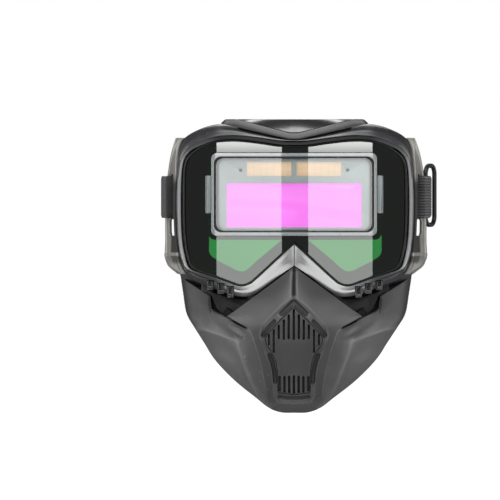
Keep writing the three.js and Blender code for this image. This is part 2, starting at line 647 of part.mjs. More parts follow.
// one cheek as rows of x, y, z from the muzzle edge over the crease to the rear
// silhouette; rows run down to the chin
const CHEEK = [
  [[31, 7.4, -95.3], [38, 15.5, -92.2], [46, 26, -88.1], [58.5, 41, -81.6],
    [59, 47, -71.7], [77, 70, -61], [81, 85, -58]],
  [[30.2, 6.4, -97.4], [37.5, 13.4, -95.4], [45, 23.5, -92.2], [56.5, 38, -87.6],
    [64.5, 52, -79], [76, 71, -72], [79.2, 84, -70]],
  [[29, 5, -99.8], [36, 11, -98.8], [43, 20, -96.6], [54.5, 34, -93.4],
    [64, 51, -89], [73.5, 69, -87], [76.5, 80, -85]],
  [[27.2, 3.6, -104], [34, 8, -103.5], [40.6, 14, -102.5], [52, 30, -99.5],
    [63, 47.5, -96], [69, 64, -95.5], [70.6, 74, -95]],
  [[25, 3.4, -111], [32, 7.5, -111.5], [37.9, 13, -112], [47, 30, -110.5],
    [56.5, 46, -108], [62, 59, -106.3], [63.7, 67, -105.4]],
  [[22.8, 3.8, -118.5], [29.5, 8, -119.5], [35, 13, -120.5], [42.5, 28, -120],
    [50, 42, -118.5], [55.3, 53, -117], [56.7, 60, -116]],
  [[20.5, 5, -129.5], [26.3, 9, -130.3], [31, 14, -131], [34.8, 25, -131.8],
    [38.5, 35, -132], [41, 43, -131.7], [41.8, 48, -131.3]],
  [[18.8, 7.6, -139.9], [22.8, 12, -141], [25.5, 18, -142.5], [25.6, 24, -143.3],
    [25.5, 29, -143.8], [25.3, 33, -144], [25, 36, -144]],
  [[15.6, 13, -149.8], [17.3, 16, -150.1], [17.6, 20, -150.2], [17.4, 23, -150.2],
    [17.3, 25, -150.1], [17.1, 28, -150.05], [17, 30, -150]],
  [[8, 13.2, -152.4], [8.8, 15.4, -153], [9.2, 18, -153.2], [9.1, 21, -153.2],
    [9, 23.5, -153.1], [9, 26, -153.05], [9, 28, -153]],
];
const CHIN = [                     // the row on the centre line
  [0, 12.6, -152.6], [0, 15, -153.3], [0, 17.6, -153.4], [0, 20, -153.4],
  [0, 22.5, -153.4], [0, 25, -153.4], [0, 27, -153.4],
];
// grille plate outline, one half, from the top: x, z
const GRILLE = wholeLoop([
  [0, -77.3], [8.6, -85], [14.2, -90.4], [21, -98.6], [20.6, -105.6],
  [15.6, -113], [13.9, -123], [13.2, -132], [11.6, -140.4], [0, -141.4],
]);

// y of the curved front at a share of the way from the centre to the edge
const muzzleCurve = (edgeY, centreY, share) => lerp(centreY, edgeY, share ** 1.7);

function makeMaskShell() {
  const front = MUZZLE.map(([z, edgeX, edgeY, centreY]) => MUZZLE_ACROSS.map((share) =>
    [share * edgeX, muzzleCurve(edgeY, centreY, Math.abs(share)), z]));
  const back = front.map((row) => row.map(([x, y, z]) => [x, y + MASK_T, z]));
  const otherCheek = CHEEK.slice().reverse().map((row) => row.map(([x, y, z]) => [-x, y, z]));
  const cheeks = CHEEK.concat([CHIN], otherCheek);
  // the grid's normals point outward, so the inside lies at a negative offset
  const shell = join(sheet(front, back), sheet(cheeks, offsetGrid(cheeks, -MASK_T)));
  return cut(shell, extrudeXZ(inset(GRILLE, -0.4), -30, 12));
}
add('mask_shell', makeMaskShell(), MATERIAL.matte);

// ------------------------------------------------------------ grille and filter
const GRILLE_ROWS = [-77, -80.5, -85, -90.4, -95, -98.6, -102, -105.6, -109,
  -113, -118, -123, -127.5, -132, -136, -140.4, -141.6];
const GRILLE_ACROSS = [-1, -0.6, -0.3, 0, 0.3, 0.6, 1];
const GRILLE_REACH = 23;           // half width of the layers before trimming
const SLOT_W = 1.6;
// slots from the centre outward: top z, bottom z
const UPPER_SLOTS = {
  pitch: 3.5,
  spans: [[-79.9, -101.8], [-83.8, -101.4], [-87.4, -101.8],
    [-91, -101.4], [-94.2, -111], [-97.4, -105.8]],
};
const LOWER_SLOTS = {
  pitch: 3.32,
  spans: [[-126.4, -139.6], [-126.7, -139.2], [-127, -138.9], [-127, -138]],
};

function muzzleY(x, z) {
  let i = 0;
  while (i < MUZZLE.length - 2 && z < MUZZLE[i + 1][0]) i++;
  const [above, below] = [MUZZLE[i], MUZZLE[i + 1]];
  const share = Math.min(1, Math.max(0, (z - above[0]) / (below[0] - above[0])));
  const [, edgeX, edgeY, centreY] = above.map((value, k) => lerp(value, below[k], share));
  return muzzleCurve(edgeY, centreY, Math.min(1.3, Math.abs(x) / edgeX));
}

// a sheet that follows the muzzle, at a depth behind its front face
function muzzleLayer(depth, thickness) {
  const grid = (offset) => GRILLE_ROWS.map((z) => GRILLE_ACROSS.map((share) => {
    const x = share * GRILLE_REACH;
    return [x, muzzleY(x, z) + offset, z];
  }));
  return sheet(grid(depth), grid(depth + thickness));
}

const slotTools = ({ pitch, spans }) => spans.flatMap(([top, bottom], i) =>
  (i ? SIDES : [1]).map((side) => {
    const x = side * i * pitch;
    return box(x - SLOT_W / 2, x + SLOT_W / 2, -30, 30, bottom, top);
  }));

add('grille_plate', cut(common(muzzleLayer(0.9, 2), extrudeXZ(GRILLE, -40, 30)),
  ...slotTools(UPPER_SLOTS), ...slotTools(LOWER_SLOTS)), MATERIAL.matte);
add('filter_pad', common(muzzleLayer(3.6, 5), extrudeXZ(inset(GRILLE, 1.2), -40, 40)),
  MATERIAL.filter);
add('filter_retainer', fromSolid(solid(muzzleLayer(9, 1.6))
  .intersect(solid(extrudeXZ(inset(GRILLE, 0.6), -40, 40)))
  .subtract(solid(extrudeXZ(inset(GRILLE, 5.2), -41, 41)))), MATERIAL.matte);

// ------------------------------------------------------------ mask brackets
// a rail along the frame's lower bar, with two pegs that enter the frame
const RAIL = [                     // x, top z, bottom z
  [22, -72.8, -82], [30, -73.6, -83.4], [38, -74, -84],
  [48, -72.2, -82], [56, -69.8, -80], [66, -64.8, -76.5],
];
const RAIL_FRONT = 24.4;
const RAIL_BACK = 27.4;
function makeBracket() {
  let bracket = wrapLoft(RAIL.map(([x]) => x), (x, i) => {
    const [, top, bottom] = RAIL[i];
    return [[RAIL_FRONT, top], [RAIL_BACK, top], [RAIL_BACK, bottom], [RAIL_FRONT, bottom]];
  });
  for (const [x0, x1, low, high] of PEGS) {
    const y = wrap((x0 + x1) / 2);
    bracket = join(bracket, box(x0, x1, y + 24.6, y + RAIL_BACK, low, high));
  }
  return bracket;
}
addPair('mask_bracket', makeBracket(), MATERIAL.satin);

export default root;
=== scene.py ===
"""Welding goggles with an auto-darkening cartridge, a head strap and a mask below them.

Lengths are millimetres until make_mesh turns them into metres; shaders, lights and the camera use
metres. Z is up and the front faces -Y. Parts called right are on +X. The goggle wraps back round
the head on a vertical cylinder, so most of its depths are given at x = 0, before wrap() is added.
"""
import math
import bpy
import bmesh
import numpy as np
from mathutils import Vector, Matrix, noise

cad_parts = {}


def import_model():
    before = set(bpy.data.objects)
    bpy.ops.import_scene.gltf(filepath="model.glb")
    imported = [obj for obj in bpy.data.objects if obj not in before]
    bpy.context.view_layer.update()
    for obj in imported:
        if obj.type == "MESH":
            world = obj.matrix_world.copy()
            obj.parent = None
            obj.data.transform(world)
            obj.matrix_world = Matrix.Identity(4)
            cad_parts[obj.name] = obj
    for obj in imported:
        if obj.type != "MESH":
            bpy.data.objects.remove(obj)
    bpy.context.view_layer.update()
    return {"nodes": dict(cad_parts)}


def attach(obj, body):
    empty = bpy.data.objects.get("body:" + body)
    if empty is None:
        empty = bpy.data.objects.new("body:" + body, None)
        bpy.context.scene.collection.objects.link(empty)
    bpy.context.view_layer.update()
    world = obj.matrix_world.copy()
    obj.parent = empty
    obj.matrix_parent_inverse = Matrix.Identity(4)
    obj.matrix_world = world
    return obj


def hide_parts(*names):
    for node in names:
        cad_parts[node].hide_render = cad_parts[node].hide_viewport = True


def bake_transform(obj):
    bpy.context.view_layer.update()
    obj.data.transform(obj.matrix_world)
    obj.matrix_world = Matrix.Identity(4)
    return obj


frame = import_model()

NODES = frame["nodes"]
MM = 0.001
WRAP_RADIUS = 125.0
SUB = 6                                   # fine points per station of a rim outline
scene = bpy.context.scene


# ------------------------------------------------------------------ curves and outlines
def wrap(x):
    """how far back the wrap cylinder lies at x"""
    return WRAP_RADIUS - np.sqrt(np.maximum(WRAP_RADIUS ** 2 - np.asarray(x) ** 2, 0))

def smooth01(t):
    t = np.clip(t, 0, 1)
    return t * t * (3 - 2 * t)

def rise(value, start, width):
    """0 up to start, then easing to 1 over width"""
    return smooth01((value - start) / width)

def fall(value, end, width):
    """1, then easing to 0 over the width before end"""
    return smooth01((end - value) / width)

def full(half):
    """a closed outline from its +X half, which runs from centre line to centre line"""
    half = [tuple(p) for p in half]
    return np.array(half + [(-x, z) for x, z in reversed(half[1:-1])], float)

def inset(loop, distance):
    """a closed XZ outline moved inwards"""
    following = np.roll(loop, -1, 0)
    area = np.sum(loop[:, 0] * following[:, 1] - following[:, 0] * loop[:, 1])
    turn = 1 if area > 0 else -1
    out = []
    for i, point in enumerate(loop):
        before, after = point - loop[i - 1], loop[(i + 1) % len(loop)] - point
        len_before, len_after = np.hypot(*before), np.hypot(*after)
        normal = np.array([-(before[1] / len_before + after[1] / len_after) * turn,
                           (before[0] / len_before + after[0] / len_after) * turn])
        size = np.hypot(*normal)
        out.append(point + normal / size * distance / max(size / 2, 0.6))
    return np.array(out)

def toward(start, end, distance):
    return start + (end - start) * distance / np.linalg.norm(end - start, axis=1)[:, None]

def mix(start, end, share):
    return start + (end - start) * share

def plan_length(delta):
    return np.hypot(*delta[:2])

def spline(points, steps, corners=(), closed=True, length=plan_length):
    """centripetal Catmull-Rom through the rows of points, sharp at the corner indices"""
    points = np.asarray(points, float)
    n = len(points)

    def lerp(p, q, t_p, t_q, t):
        return (t_q - t) / (t_q - t_p) * p + (t - t_p) / (t_q - t_p) * q

    def knot(p, q):
        return max(length(q - p), 1e-6) ** 0.5

    out = []
    for i in range(n if closed else n - 1):
        p1, p2 = points[i], points[(i + 1) % n]
        p0 = points[i - 1] if closed or i > 0 else 2 * p1 - p2
        p3 = points[(i + 2) % n] if closed or i + 2 < n else 2 * p2 - p1
        if i in corners:
            p0 = 2 * p1 - p2
        if (i + 1) % n in corners:
            p3 = 2 * p2 - p1
        t0 = 0.0
        t1 = t0 + knot(p0, p1)
        t2 = t1 + knot(p1, p2)
        t3 = t2 + knot(p2, p3)
        for k in range(steps):
            t = t1 + (t2 - t1) * k / steps
            a1, a2, a3 = lerp(p0, p1, t0, t1, t), lerp(p1, p2, t1, t2, t), lerp(p2, p3, t2, t3, t)
            b1, b2 = lerp(a1, a2, t0, t2, t), lerp(a2, a3, t1, t3, t)
            out.append(lerp(b1, b2, t1, t2, t))
    if not closed:
        out.append(points[-1])
    return np.array(out)

def monotone(x, y, at_x):
    """monotone cubic interpolation; x may run up or down"""
    x, y, at_x = (np.asarray(v, float) for v in (x, y, at_x))
    if x[0] > x[-1]:
        x, y = x[::-1], y[::-1]
    h, slope = np.diff(x), np.diff(y) / np.diff(x)
    m = np.zeros(len(x))
    for i in range(1, len(x) - 1):
        if slope[i - 1] * slope[i] > 0:
            w1, w2 = 2 * h[i] + h[i - 1], h[i] + 2 * h[i - 1]
            m[i] = (w1 + w2) / (w1 / slope[i - 1] + w2 / slope[i])
    m[0], m[-1] = slope[0], slope[-1]
    i = np.clip(np.searchsorted(x, at_x, side="right") - 1, 0, len(x) - 2)
    t = (at_x - x[i]) / h[i]
    return ((2 * t**3 - 3 * t**2 + 1) * y[i] + (t**3 - 2 * t**2 + t) * h[i] * m[i]
            + (-2 * t**3 + 3 * t**2) * y[i + 1] + (t**3 - t**2) * h[i] * m[i + 1])

def line_distance(points, line):
    line = np.asarray(line, float)
    nearest = np.full(len(points), 1e9)
    for start, end in zip(line[:-1], line[1:]):
        edge, offset = end - start, points - start
        along = np.clip((offset @ edge) / (edge @ edge), 0, 1)
        nearest = np.minimum(nearest, np.linalg.norm(offset - along[:, None] * edge, axis=1))
    return nearest

def signed_distance(points, outline):
    """distance outside (+) or inside (-) a closed outline"""
    inside = np.zeros(len(points), bool)
    x, z = points[:, 0], points[:, 1]
    for i, b in enumerate(outline):
        a = outline[i - 1]
        crosses = (a[1] > z) != (b[1] > z)
        inside ^= crosses & (x < (b[0] - a[0]) * (z - a[1]) / (b[1] - a[1] + 1e-12) + a[0])
    distance = line_distance(points, np.vstack([outline, outline[:1]]))
    return np.where(inside, -distance, distance)

def rounded_rect(width, height, radius, steps=10, cx=0, cz=0):
    out = []
    for sx, sz, start in ((1, 1, 90), (1, -1, 0), (-1, -1, -90), (-1, 1, -180)):
        for i in range(steps + 1):
            a = math.radians(start - 90 * i / steps)
            out.append((cx + sx * (width / 2 - radius) + radius * math.cos(a),
                        cz + sz * (height / 2 - radius) + radius * math.sin(a)))
    return np.array(out)

def at(outline, y):
    """an XZ outline placed at depth y (one number or one per point)"""
    outline = np.asarray(outline, float)
    return np.column_stack([outline[:, 0], np.broadcast_to(y, len(outline)), outline[:, 1]])


# Goggle rim, +X half from top centre to nose centre: inner x, inner z, outer x, outer z
RIM = [
    (0, 34.4, 0, 40), (10, 34.7, 10, 41.5), (25, 36.8, 26, 45), (42, 38.4, 43, 48.7),
    (55, 37.6, 55, 49.2), (64.5, 34.8, 68, 45.5), (73, 29.3, 78, 39.5), (77, 24, 82, 32),
    (78.6, 17, 83.3, 22), (79, 0, 84, 0), (79, -15, 84, -14), (78.3, -30, 83.3, -30),
    (76.5, -42, 82, -42), (73, -51.8, 79, -52), (66, -55.2, 72, -60), (57, -58, 60, -65),
    (47, -61.7, 48, -69.7), (37.5, -64.6, 38, -71.8), (31, -62.8, 30, -71.3),
    (27, -59.6, 24.5, -68), (15, -48.5, 10, -57), (0, -34.8, 0, -50)]
# Front depth of the rim at the same stations: y at the inner edge, the middle, the outer edge
RIM_FRONT = [(11.5, 12, 18)] * 19 + [(11, 11, 15), (10.2, 9.6, 12), (9, 6.5, 8)]
# Eye opening at the back, +X half: x, z
EYE_HALF = [
    (0, 30), (9, 29.8), (21, 29.4), (33, 28.6), (42, 28), (48, 27.4), (53.5, 23.6), (57, 20),
    (59.5, 15), (59.5, 0), (59.5, -14), (59.5, -27), (59.5, -36), (59.5, -40), (58.4, -43),
    (54, -46.8), (46.5, -51), (40, -54), (35.5, -54), (26, -46.2), (8.5, -31.6), (0, -25)]
INNER = full([row[:2] for row in RIM])
OUTER = full([row[2:] for row in RIM])
FRONT_Y = np.array(RIM_FRONT + RIM_FRONT[-2:0:-1], float)
NOSE = len(RIM) - 1
EYE = full(EYE_HALF)
EYE[:, 0] += np.sign(EYE[:, 0]) * 1.4 * rise(np.abs(EYE[:, 0]), 50, 8)
# towards the sides the visible inner edge moves outwards
INNER_EDGE = INNER + (toward(INNER, OUTER, 1.3) - INNER) * rise(np.abs(INNER[:, 0]), 66, 8)[:, None]

def rim_loop(outline, y):
    """a fine 3-D loop on the wrap surface from an XZ outline and its depth at x = 0"""
    fine = spline(np.column_stack([outline, np.broadcast_to(y, len(outline))]), SUB, (NOSE,))
    x = fine[:, 0]
    return np.column_stack([x, fine[:, 2] + wrap(np.clip(x, -124, 124)), fine[:, 1]])

OUTER_FINE = rim_loop(OUTER, 0)


# ------------------------------------------------------------------ mesh helpers
def smooth(ob, sharp=None):
    ob.data.shade_smooth()
    if sharp is not None:
        ob.data.set_sharp_from_angle(angle=math.radians(sharp))

def make_mesh(name, verts, faces, mat=None, flat=False, recalc=True):
    mesh = bpy.data.meshes.new(name)
    verts = [tuple(v) for v in np.asarray(verts, float) * MM]
    mesh.from_pydata(verts, [], [tuple(int(i) for i in face) for face in faces])
    mesh.update()
    ob = bpy.data.objects.new(name, mesh)
    scene.collection.objects.link(ob)
    if recalc:
        bm = bmesh.new()
        bm.from_mesh(mesh)
        bmesh.ops.recalc_face_normals(bm, faces=bm.faces)
        bm.to_mesh(mesh)
        bm.free()
    if mat is not None:
        mesh.materials.append(mat)
    if flat:
        mesh.shade_flat()
    else:
        mesh.shade_smooth()
    return ob

def apply(ob):
    bpy.context.view_layer.update()
    graph = bpy.context.evaluated_depsgraph_get()
    mesh = bpy.data.meshes.new_from_object(ob.evaluated_get(graph),
                                           preserve_all_data_layers=True, depsgraph=graph)
    ob.modifiers.clear()
    old = ob.data
    ob.data = mesh
    if old.users == 0:
        bpy.data.meshes.remove(old)

def drop(obs):
    for ob in obs:
        bpy.data.objects.remove(ob, do_unlink=True)

def add_bevel(ob, width, segments, angle):
    m = ob.modifiers.new("edge", "BEVEL")
    m.width = width * MM
    m.segments = segments
    m.limit_method = "ANGLE"
    m.angle_limit = math.radians(angle)
    m.harden_normals = True

def cut(ob, *tools, operation="DIFFERENCE"):
    for tool in tools:
        m = ob.modifiers.new("cut", "BOOLEAN")
        m.operation = operation
        m.object = tool
        m.solver = "EXACT"
        apply(ob)
    drop(tools)

def joined(name, obs, mat=None):
    bm = bmesh.new()
    for ob in obs:
        bm.from_mesh(ob.data)
    mesh = bpy.data.meshes.new(name)
    bm.to_mesh(mesh)
    bm.free()
    whole = bpy.data.objects.new(name, mesh)
    scene.collection.objects.link(whole)
    if mat is not None:
        mesh.materials.append(mat)
    drop(obs)
    return whole

def remesh(ob, voxel, passes, mat):
    """fuses the object into one skin and softens its edges"""
    m = ob.modifiers.new("vox", "REMESH")
    m.mode = "VOXEL"
    m.voxel_size = voxel * MM
    m.use_smooth_shade = True
    m = ob.modifiers.new("soft", "SMOOTH")
    m.factor = 0.5
    m.iterations = passes
    apply(ob)
    ob.data.materials.clear()
    ob.data.materials.append(mat)
    smooth(ob)

def mirror(ob):
    ob.data.transform(Matrix.Scale(-1, 4, (1, 0, 0)))
    ob.data.flip_normals()

def band_faces(points, loops, bands):
    """quads between neighbouring loops; the last band closes on the first loop"""
    return [(a * points + i, a * points + (i + 1) % points,
             (a + 1) % loops * points + (i + 1) % points, (a + 1) % loops * points + i)
            for a in range(bands) for i in range(points)]

def ring(name, loops, mat):
    """a closed chain of closed loops"""
    faces = band_faces(len(loops[0]), len(loops), len(loops))
    return make_mesh(name, np.concatenate(loops), faces, mat)

def loft(name, sections, mat):
    """a capped body through closed sections"""
    n, count = len(sections[0]), len(sections)
    faces = band_faces(n, count, count - 1)
    faces += [tuple(range(n - 1, -1, -1)), tuple((count - 1) * n + i for i in range(n))]
    return make_mesh(name, np.concatenate(sections), faces, mat)

def fillet(loops, radii, steps=4):
    """rounds the corners of a ring's cross-section; each loop is one corner"""
    out = []
    for k, corner in enumerate(loops):
        radius = radii[k] if hasattr(radii, "__len__") else radii

        def along(neighbour):
            length = np.linalg.norm(neighbour - corner, axis=1)[:, None]
            reach = np.minimum(radius, length * 0.48)
            return corner + (neighbour - corner) / np.maximum(length, 1e-9) * reach

        start, end = along(loops[k - 1]), along(loops[(k + 1) % len(loops)])
        for j in range(steps):
            t = j / (steps - 1)
            out.append((1 - t) ** 2 * start + 2 * t * (1 - t) * corner + t * t * end)
    return out

def fillet_section(points, radii, steps=4):
    """one closed section with rounded corners"""
    return np.concatenate(fillet([p[None, :] for p in np.asarray(points, float)], radii, steps))

def sheet(name, front, back, mat):
    """a closed slab between two grids of points"""
    rows, cols = front.shape[:2]

    def f(i, j):
        return i * cols + j

    def b(i, j):
        return rows * cols + i * cols + j

    faces = []
    for i in range(rows - 1):
        for j in range(cols - 1):
            faces.append((f(i, j), f(i + 1, j), f(i + 1, j + 1), f(i, j + 1)))
            faces.append((b(i, j), b(i, j + 1), b(i + 1, j + 1), b(i + 1, j)))
    edge = [(0, j) for j in range(cols - 1)] + [(i, cols - 1) for i in range(rows - 1)]
    edge += [(rows - 1, j) for j in range(cols - 1, 0, -1)] + [(i, 0) for i in range(rows - 1, 0, -1)]
    for p, q in zip(edge, edge[1:] + edge[:1]):
        faces.append((f(*p), b(*p), b(*q), f(*q)))
    return make_mesh(name, np.concatenate([front.reshape(-1, 3), back.reshape(-1, 3)]), faces, mat)

def grid(x, y, z):
    return np.stack([x, y, z], -1)

def box(x0, x1, y0, y1, z0, z1):
    """a cutter"""
    verts = [(x, y, z) for x in (x0, x1) for y in (y0, y1) for z in (z0, z1)]
    faces = [(0, 1, 3, 2), (4, 6, 7, 5), (0, 4, 5, 1), (2, 3, 7, 6), (0, 2, 6, 4), (1, 5, 7, 3)]
    return make_mesh("t", verts, faces, flat=True)

def slab(near, far):
    """a cutter between two matching outlines"""
    n = len(near)
    faces = [tuple(range(n)), tuple(range(2 * n - 1, n - 1, -1))]
    faces += [(i, (i + 1) % n, n + (i + 1) % n, n + i) for i in range(n)]
    return make_mesh("t", np.concatenate([near, far]), faces, flat=True)

def prism(outline, y0, y1):
    return slab(at(outline, y0), at(outline, y1))

def curved_plate(name, outline, holes, y, thickness, mat, bottom=-76):
    """a plate on the wrap surface, trimmed to an XZ outline"""
    x, z = np.meshgrid(np.linspace(-84, 84, 169), np.linspace(bottom, 54, 14))
    ob = sheet(name, grid(x, y + wrap(x), z), grid(x, y + thickness + wrap(x), z), mat)
    cut(ob, prism(outline, y - 10, y + 60), operation="INTERSECT")
    for hole in holes:
        cut(ob, prism(hole, y - 30, y + 60))
    return ob

def coords_mm(ob):
    co = np.zeros(len(ob.data.vertices) * 3)
    ob.data.vertices.foreach_get("co", co)
    return co.reshape(-1, 3) / MM

def paint(ob, name, values):
    """a per-vertex value; shade darkens a plastic as painted shade, the painted highlight value
    lightens it
    """
    attribute = ob.data.attributes.new(name, "FLOAT", "POINT")
    attribute.data.foreach_set("value", np.clip(values, 0, 1).astype(np.float32))

def put_on(ob, body, node):
    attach(ob, body)
    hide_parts(node)


# ------------------------------------------------------------------ materials
PRINCIPLED = "ShaderNodeBsdfPrincipled"

def srgb(*rgb):
    return tuple(c / 255 / 12.92 if c <= 10 else ((c / 255 + 0.055) / 1.055) ** 2.4
                 for c in rgb) + (1,)

def tint(colour, gain, add=0):
    return tuple(min(1, c * gain + add) for c in colour[:3]) + (1,)

class Shader:
    """a new material, with short ways to add nodes"""
    def __init__(self, name):
        self.material = bpy.data.materials.new(name)
        self.material.use_nodes = True
        self.tree = self.material.node_tree
        self.tree.nodes.clear()
        self.output = self.node("ShaderNodeOutputMaterial")
        self.object_coord = None

    def feed(self, socket, value):
        if isinstance(value, (int, float, tuple)):
            socket.default_value = value
        else:
            self.tree.links.new(value, socket)

    def node(self, kind, inputs=None, **settings):
        node = self.tree.nodes.new(kind)
        for key, value in settings.items():
            setattr(node, key, value)
        for key, value in (inputs or {}).items():
            self.feed(node.inputs[key], value)
        return node

    def coord(self):
        if self.object_coord is None:
            self.object_coord = self.node("ShaderNodeTexCoord").outputs["Object"]
        return self.object_coord

    def xyz(self):
        return self.node("ShaderNodeSeparateXYZ", {0: self.coord()}).outputs

    def noise(self, scale, detail=4, rough=0.6):
        return self.node("ShaderNodeTexNoise", {
            "Scale": scale, "Detail": detail, "Roughness": rough,
            "Vector": self.coord()}).outputs["Fac"]

    def ramp(self, value, low, high, start=0.3, stop=0.7):
        node = self.node("ShaderNodeValToRGB", {"Fac": value})
        for element, place, colour in zip(node.color_ramp.elements, (start, stop), (low, high)):
            element.position = place
            element.color = colour
        return node.outputs["Color"]

    def remap(self, value, low, high, start=0.0, stop=1.0):
        """start..stop to low..high"""
        return self.node("ShaderNodeMapRange", {
            "From Min": start, "From Max": stop, "To Min": low, "To Max": high,
            "Value": value}).outputs["Result"]

    def math(self, operation, *values):
        return self.node("ShaderNodeMath", dict(enumerate(values)), operation=operation).outputs[0]

    def mix(self, factor, a, b, blend="MIX"):
        return self.node("ShaderNodeMix", {0: factor, 6: a, 7: b},
                         data_type="RGBA", blend_type=blend).outputs[2]

    def bump(self, height, distance, strength, normal=None):
        node = self.node("ShaderNodeBump", {"Distance": distance, "Strength": strength,
                                            "Height": height})
        if normal is not None:
            self.feed(node.inputs["Normal"], normal)
        return node.outputs["Normal"]

    def attribute(self, name):
        return self.node("ShaderNodeAttribute", attribute_name=name).outputs["Fac"]

    def glossy(self, level, rough, normal=None):
        node = self.node("ShaderNodeBsdfGlossy", {"Color": (level, level, level, 1),
                                                  "Roughness": rough})
        if normal is not None:
            self.feed(node.inputs["Normal"], normal)
        return node.outputs[0]

    def add_shaders(self, a, b):
        return self.node("ShaderNodeAddShader", {0: a, 1: b}).outputs[0]

    def mix_shaders(self, factor, a, b):
        return self.node("ShaderNodeMixShader", {0: factor, 1: a, 2: b}).outputs[0]

    def finish(self, surface):
        self.feed(self.output.inputs["Surface"], surface)
        return self.material

def plastic(name, base, *, rough, grain, depth, vary, coat=0.0, specular=0.5, edge=0.0,
            spread=0.08, ao=0.0, ao_min=0.25, metallic=0.0, nose_shade_line=False):
    """moulded plastic

    rough +- spread: roughness; grain, depth: scale and height of the fine bump; vary: share the
    colour mottles by; edge: how much convex edges lighten as a painted highlight; ao, ao_min: reach
    and darkest level of the crevice shading; nose_shade_line: a thin dark line of painted shade
    down the middle, below the nose bridge
    """
    s = Shader(name)
    mottle = s.noise(scale=38, detail=3, rough=0.55)
    colour = s.ramp(mottle, tint(base, 1 - vary), tint(base, 1 + vary), stop=0.72)
    # painted highlight: convex edges are lightened by pointiness
    if edge > 0:
        pointiness = s.node("ShaderNodeNewGeometry").outputs["Pointiness"]
        convex = s.remap(pointiness, 0, edge, start=0.5, stop=0.62)
        colour = s.mix(convex, colour, tint(base, 2.4, add=0.05))
    dark = s.attribute("shade")
    # painted shade: a thin dark line down the nose ridge, joined to the shade value
    if nose_shade_line:
        x, y, z = s.xyz()
        line = s.remap(s.math("ABSOLUTE", x), 1.0, 0.0, start=0.00022, stop=0.0005)
        line = s.math("MULTIPLY", line, s.remap(z, 1.0, 0.0, start=-0.036, stop=-0.034))
        dark = s.math("MAXIMUM", dark, line)
    colour = s.mix(dark, colour, tint(base, 0.22))
    # painted highlight from the per-vertex highlight value
    colour = s.mix(s.attribute("painted_highlight"), colour, tint(base, 3.2))
    if ao > 0:
        occlusion = s.node("ShaderNodeAmbientOcclusion", {"Distance": ao}, samples=6).outputs["AO"]
        level = s.remap(occlusion, ao_min, 1.0, start=0.15, stop=0.85)
        colour = s.mix(1.0, colour, level, "MULTIPLY")
    smudge = s.noise(scale=160, detail=5, rough=0.7)
    normal = s.bump(s.noise(grain, detail=3), depth, 0.8,
                    s.bump(mottle, distance=4e-5, strength=0.3))
    bsdf = s.node(PRINCIPLED, {
        "Base Color": colour, "Normal": normal, "Metallic": metallic,
        "Roughness": s.remap(smudge, rough - spread, rough + spread, start=0.3, stop=0.7),
        "Coat Weight": coat, "Coat Roughness": 0.16,
        "Specular IOR Level": s.remap(dark, specular, specular * 0.08)})
    if coat:
        s.feed(bsdf.inputs["Coat Weight"], s.remap(dark, coat, 0.0))
    return s.finish(bsdf.outputs[0])

SATIN = plastic("satin_black", (0.013, 0.013, 0.014), rough=0.30, grain=1400, depth=8e-6,
                vary=0.2, coat=0.35, edge=0.2, ao=0.006, ao_min=0.1, spread=0.03)
FRAME = plastic("satin_black_frame", (0.013, 0.013, 0.014), rough=0.31, grain=1250, depth=3e-5,
                vary=0.3, coat=0.35, edge=0.2, ao=0.006, ao_min=0.1, spread=0.05, nose_shade_line=True)
MATTE = plastic("matte_black", (0.037, 0.037, 0.038), rough=0.46, grain=1900, depth=5e-5,
                vary=0.08, edge=0.5, ao=0.012, ao_min=0.1, spread=0.04)
# a darker copy of the black plastic: painted shade for the brackets, which sit in shade behind the
# cheeks
SHADED_BRACKET = plastic("bracket_black_shaded", (0.008, 0.008, 0.009), rough=0.42, grain=1400, depth=1e-5,
                  vary=0.2, specular=0.25, edge=0.2, ao=0.02, ao_min=0.1)
SMOKE = plastic("smoke_grey", (0.150, 0.146, 0.134), rough=0.30, grain=900, depth=8e-6,
                vary=0.15, coat=0.3, edge=0.3, ao=0.01, ao_min=0.15, spread=0.03)
RUBBER = plastic("black_rubber", (0.012, 0.012, 0.012), rough=0.62, grain=1700, depth=4e-5,
                 vary=0.25, specular=0.4)
WIRE = plastic("black_wire", (0.006, 0.006, 0.007), rough=0.42, grain=1200, depth=1e-5,
               vary=0.2, specular=0.35)
BOARD = plastic("board_green", (0.02, 0.12, 0.04), rough=0.35, grain=600, depth=2e-5, vary=0.5)
CELL = plastic("cell_steel", (0.55, 0.55, 0.57), rough=0.3, grain=900, depth=2e-5, vary=0.1,
               metallic=1.0)

COAT = 0.22                               # strength of the mirror coat on the panes

def mirror_coat(s, rough):
    """a reflection that follows the wrap, so that flat panes mirror like the lens"""
    nx = s.math("DIVIDE", s.xyz()[0], WRAP_RADIUS * MM)
    ny = s.math("SQRT", s.math("SUBTRACT", 1.0, s.math("MULTIPLY", nx, nx)))
    normal = s.node("ShaderNodeCombineXYZ", {0: nx, 1: s.math("MULTIPLY", ny, -1.0)}).outputs[0]
    normal = s.node("ShaderNodeVectorTransform", {0: normal}, vector_type="NORMAL",
                    convert_from="OBJECT", convert_to="WORLD").outputs[0]
    return s.glossy(COAT, rough, normal)

def front_only(s, front, other):
    """front on faces that look towards -Y, other elsewhere"""
    geometry = s.node("ShaderNodeNewGeometry").outputs
    normal = s.node("ShaderNodeVectorTransform", {0: geometry["True Normal"]},
                    vector_type="NORMAL", convert_from="WORLD", convert_to="OBJECT").outputs[0]
    ny = s.node("ShaderNodeSeparateXYZ", {0: normal}).outputs[1]
    facing = s.math("MULTIPLY", s.math("LESS_THAN", ny, -0.35),
                    s.math("SUBTRACT", 1.0, geometry["Backfacing"]))
    return s.mix_shaders(facing, other, front)

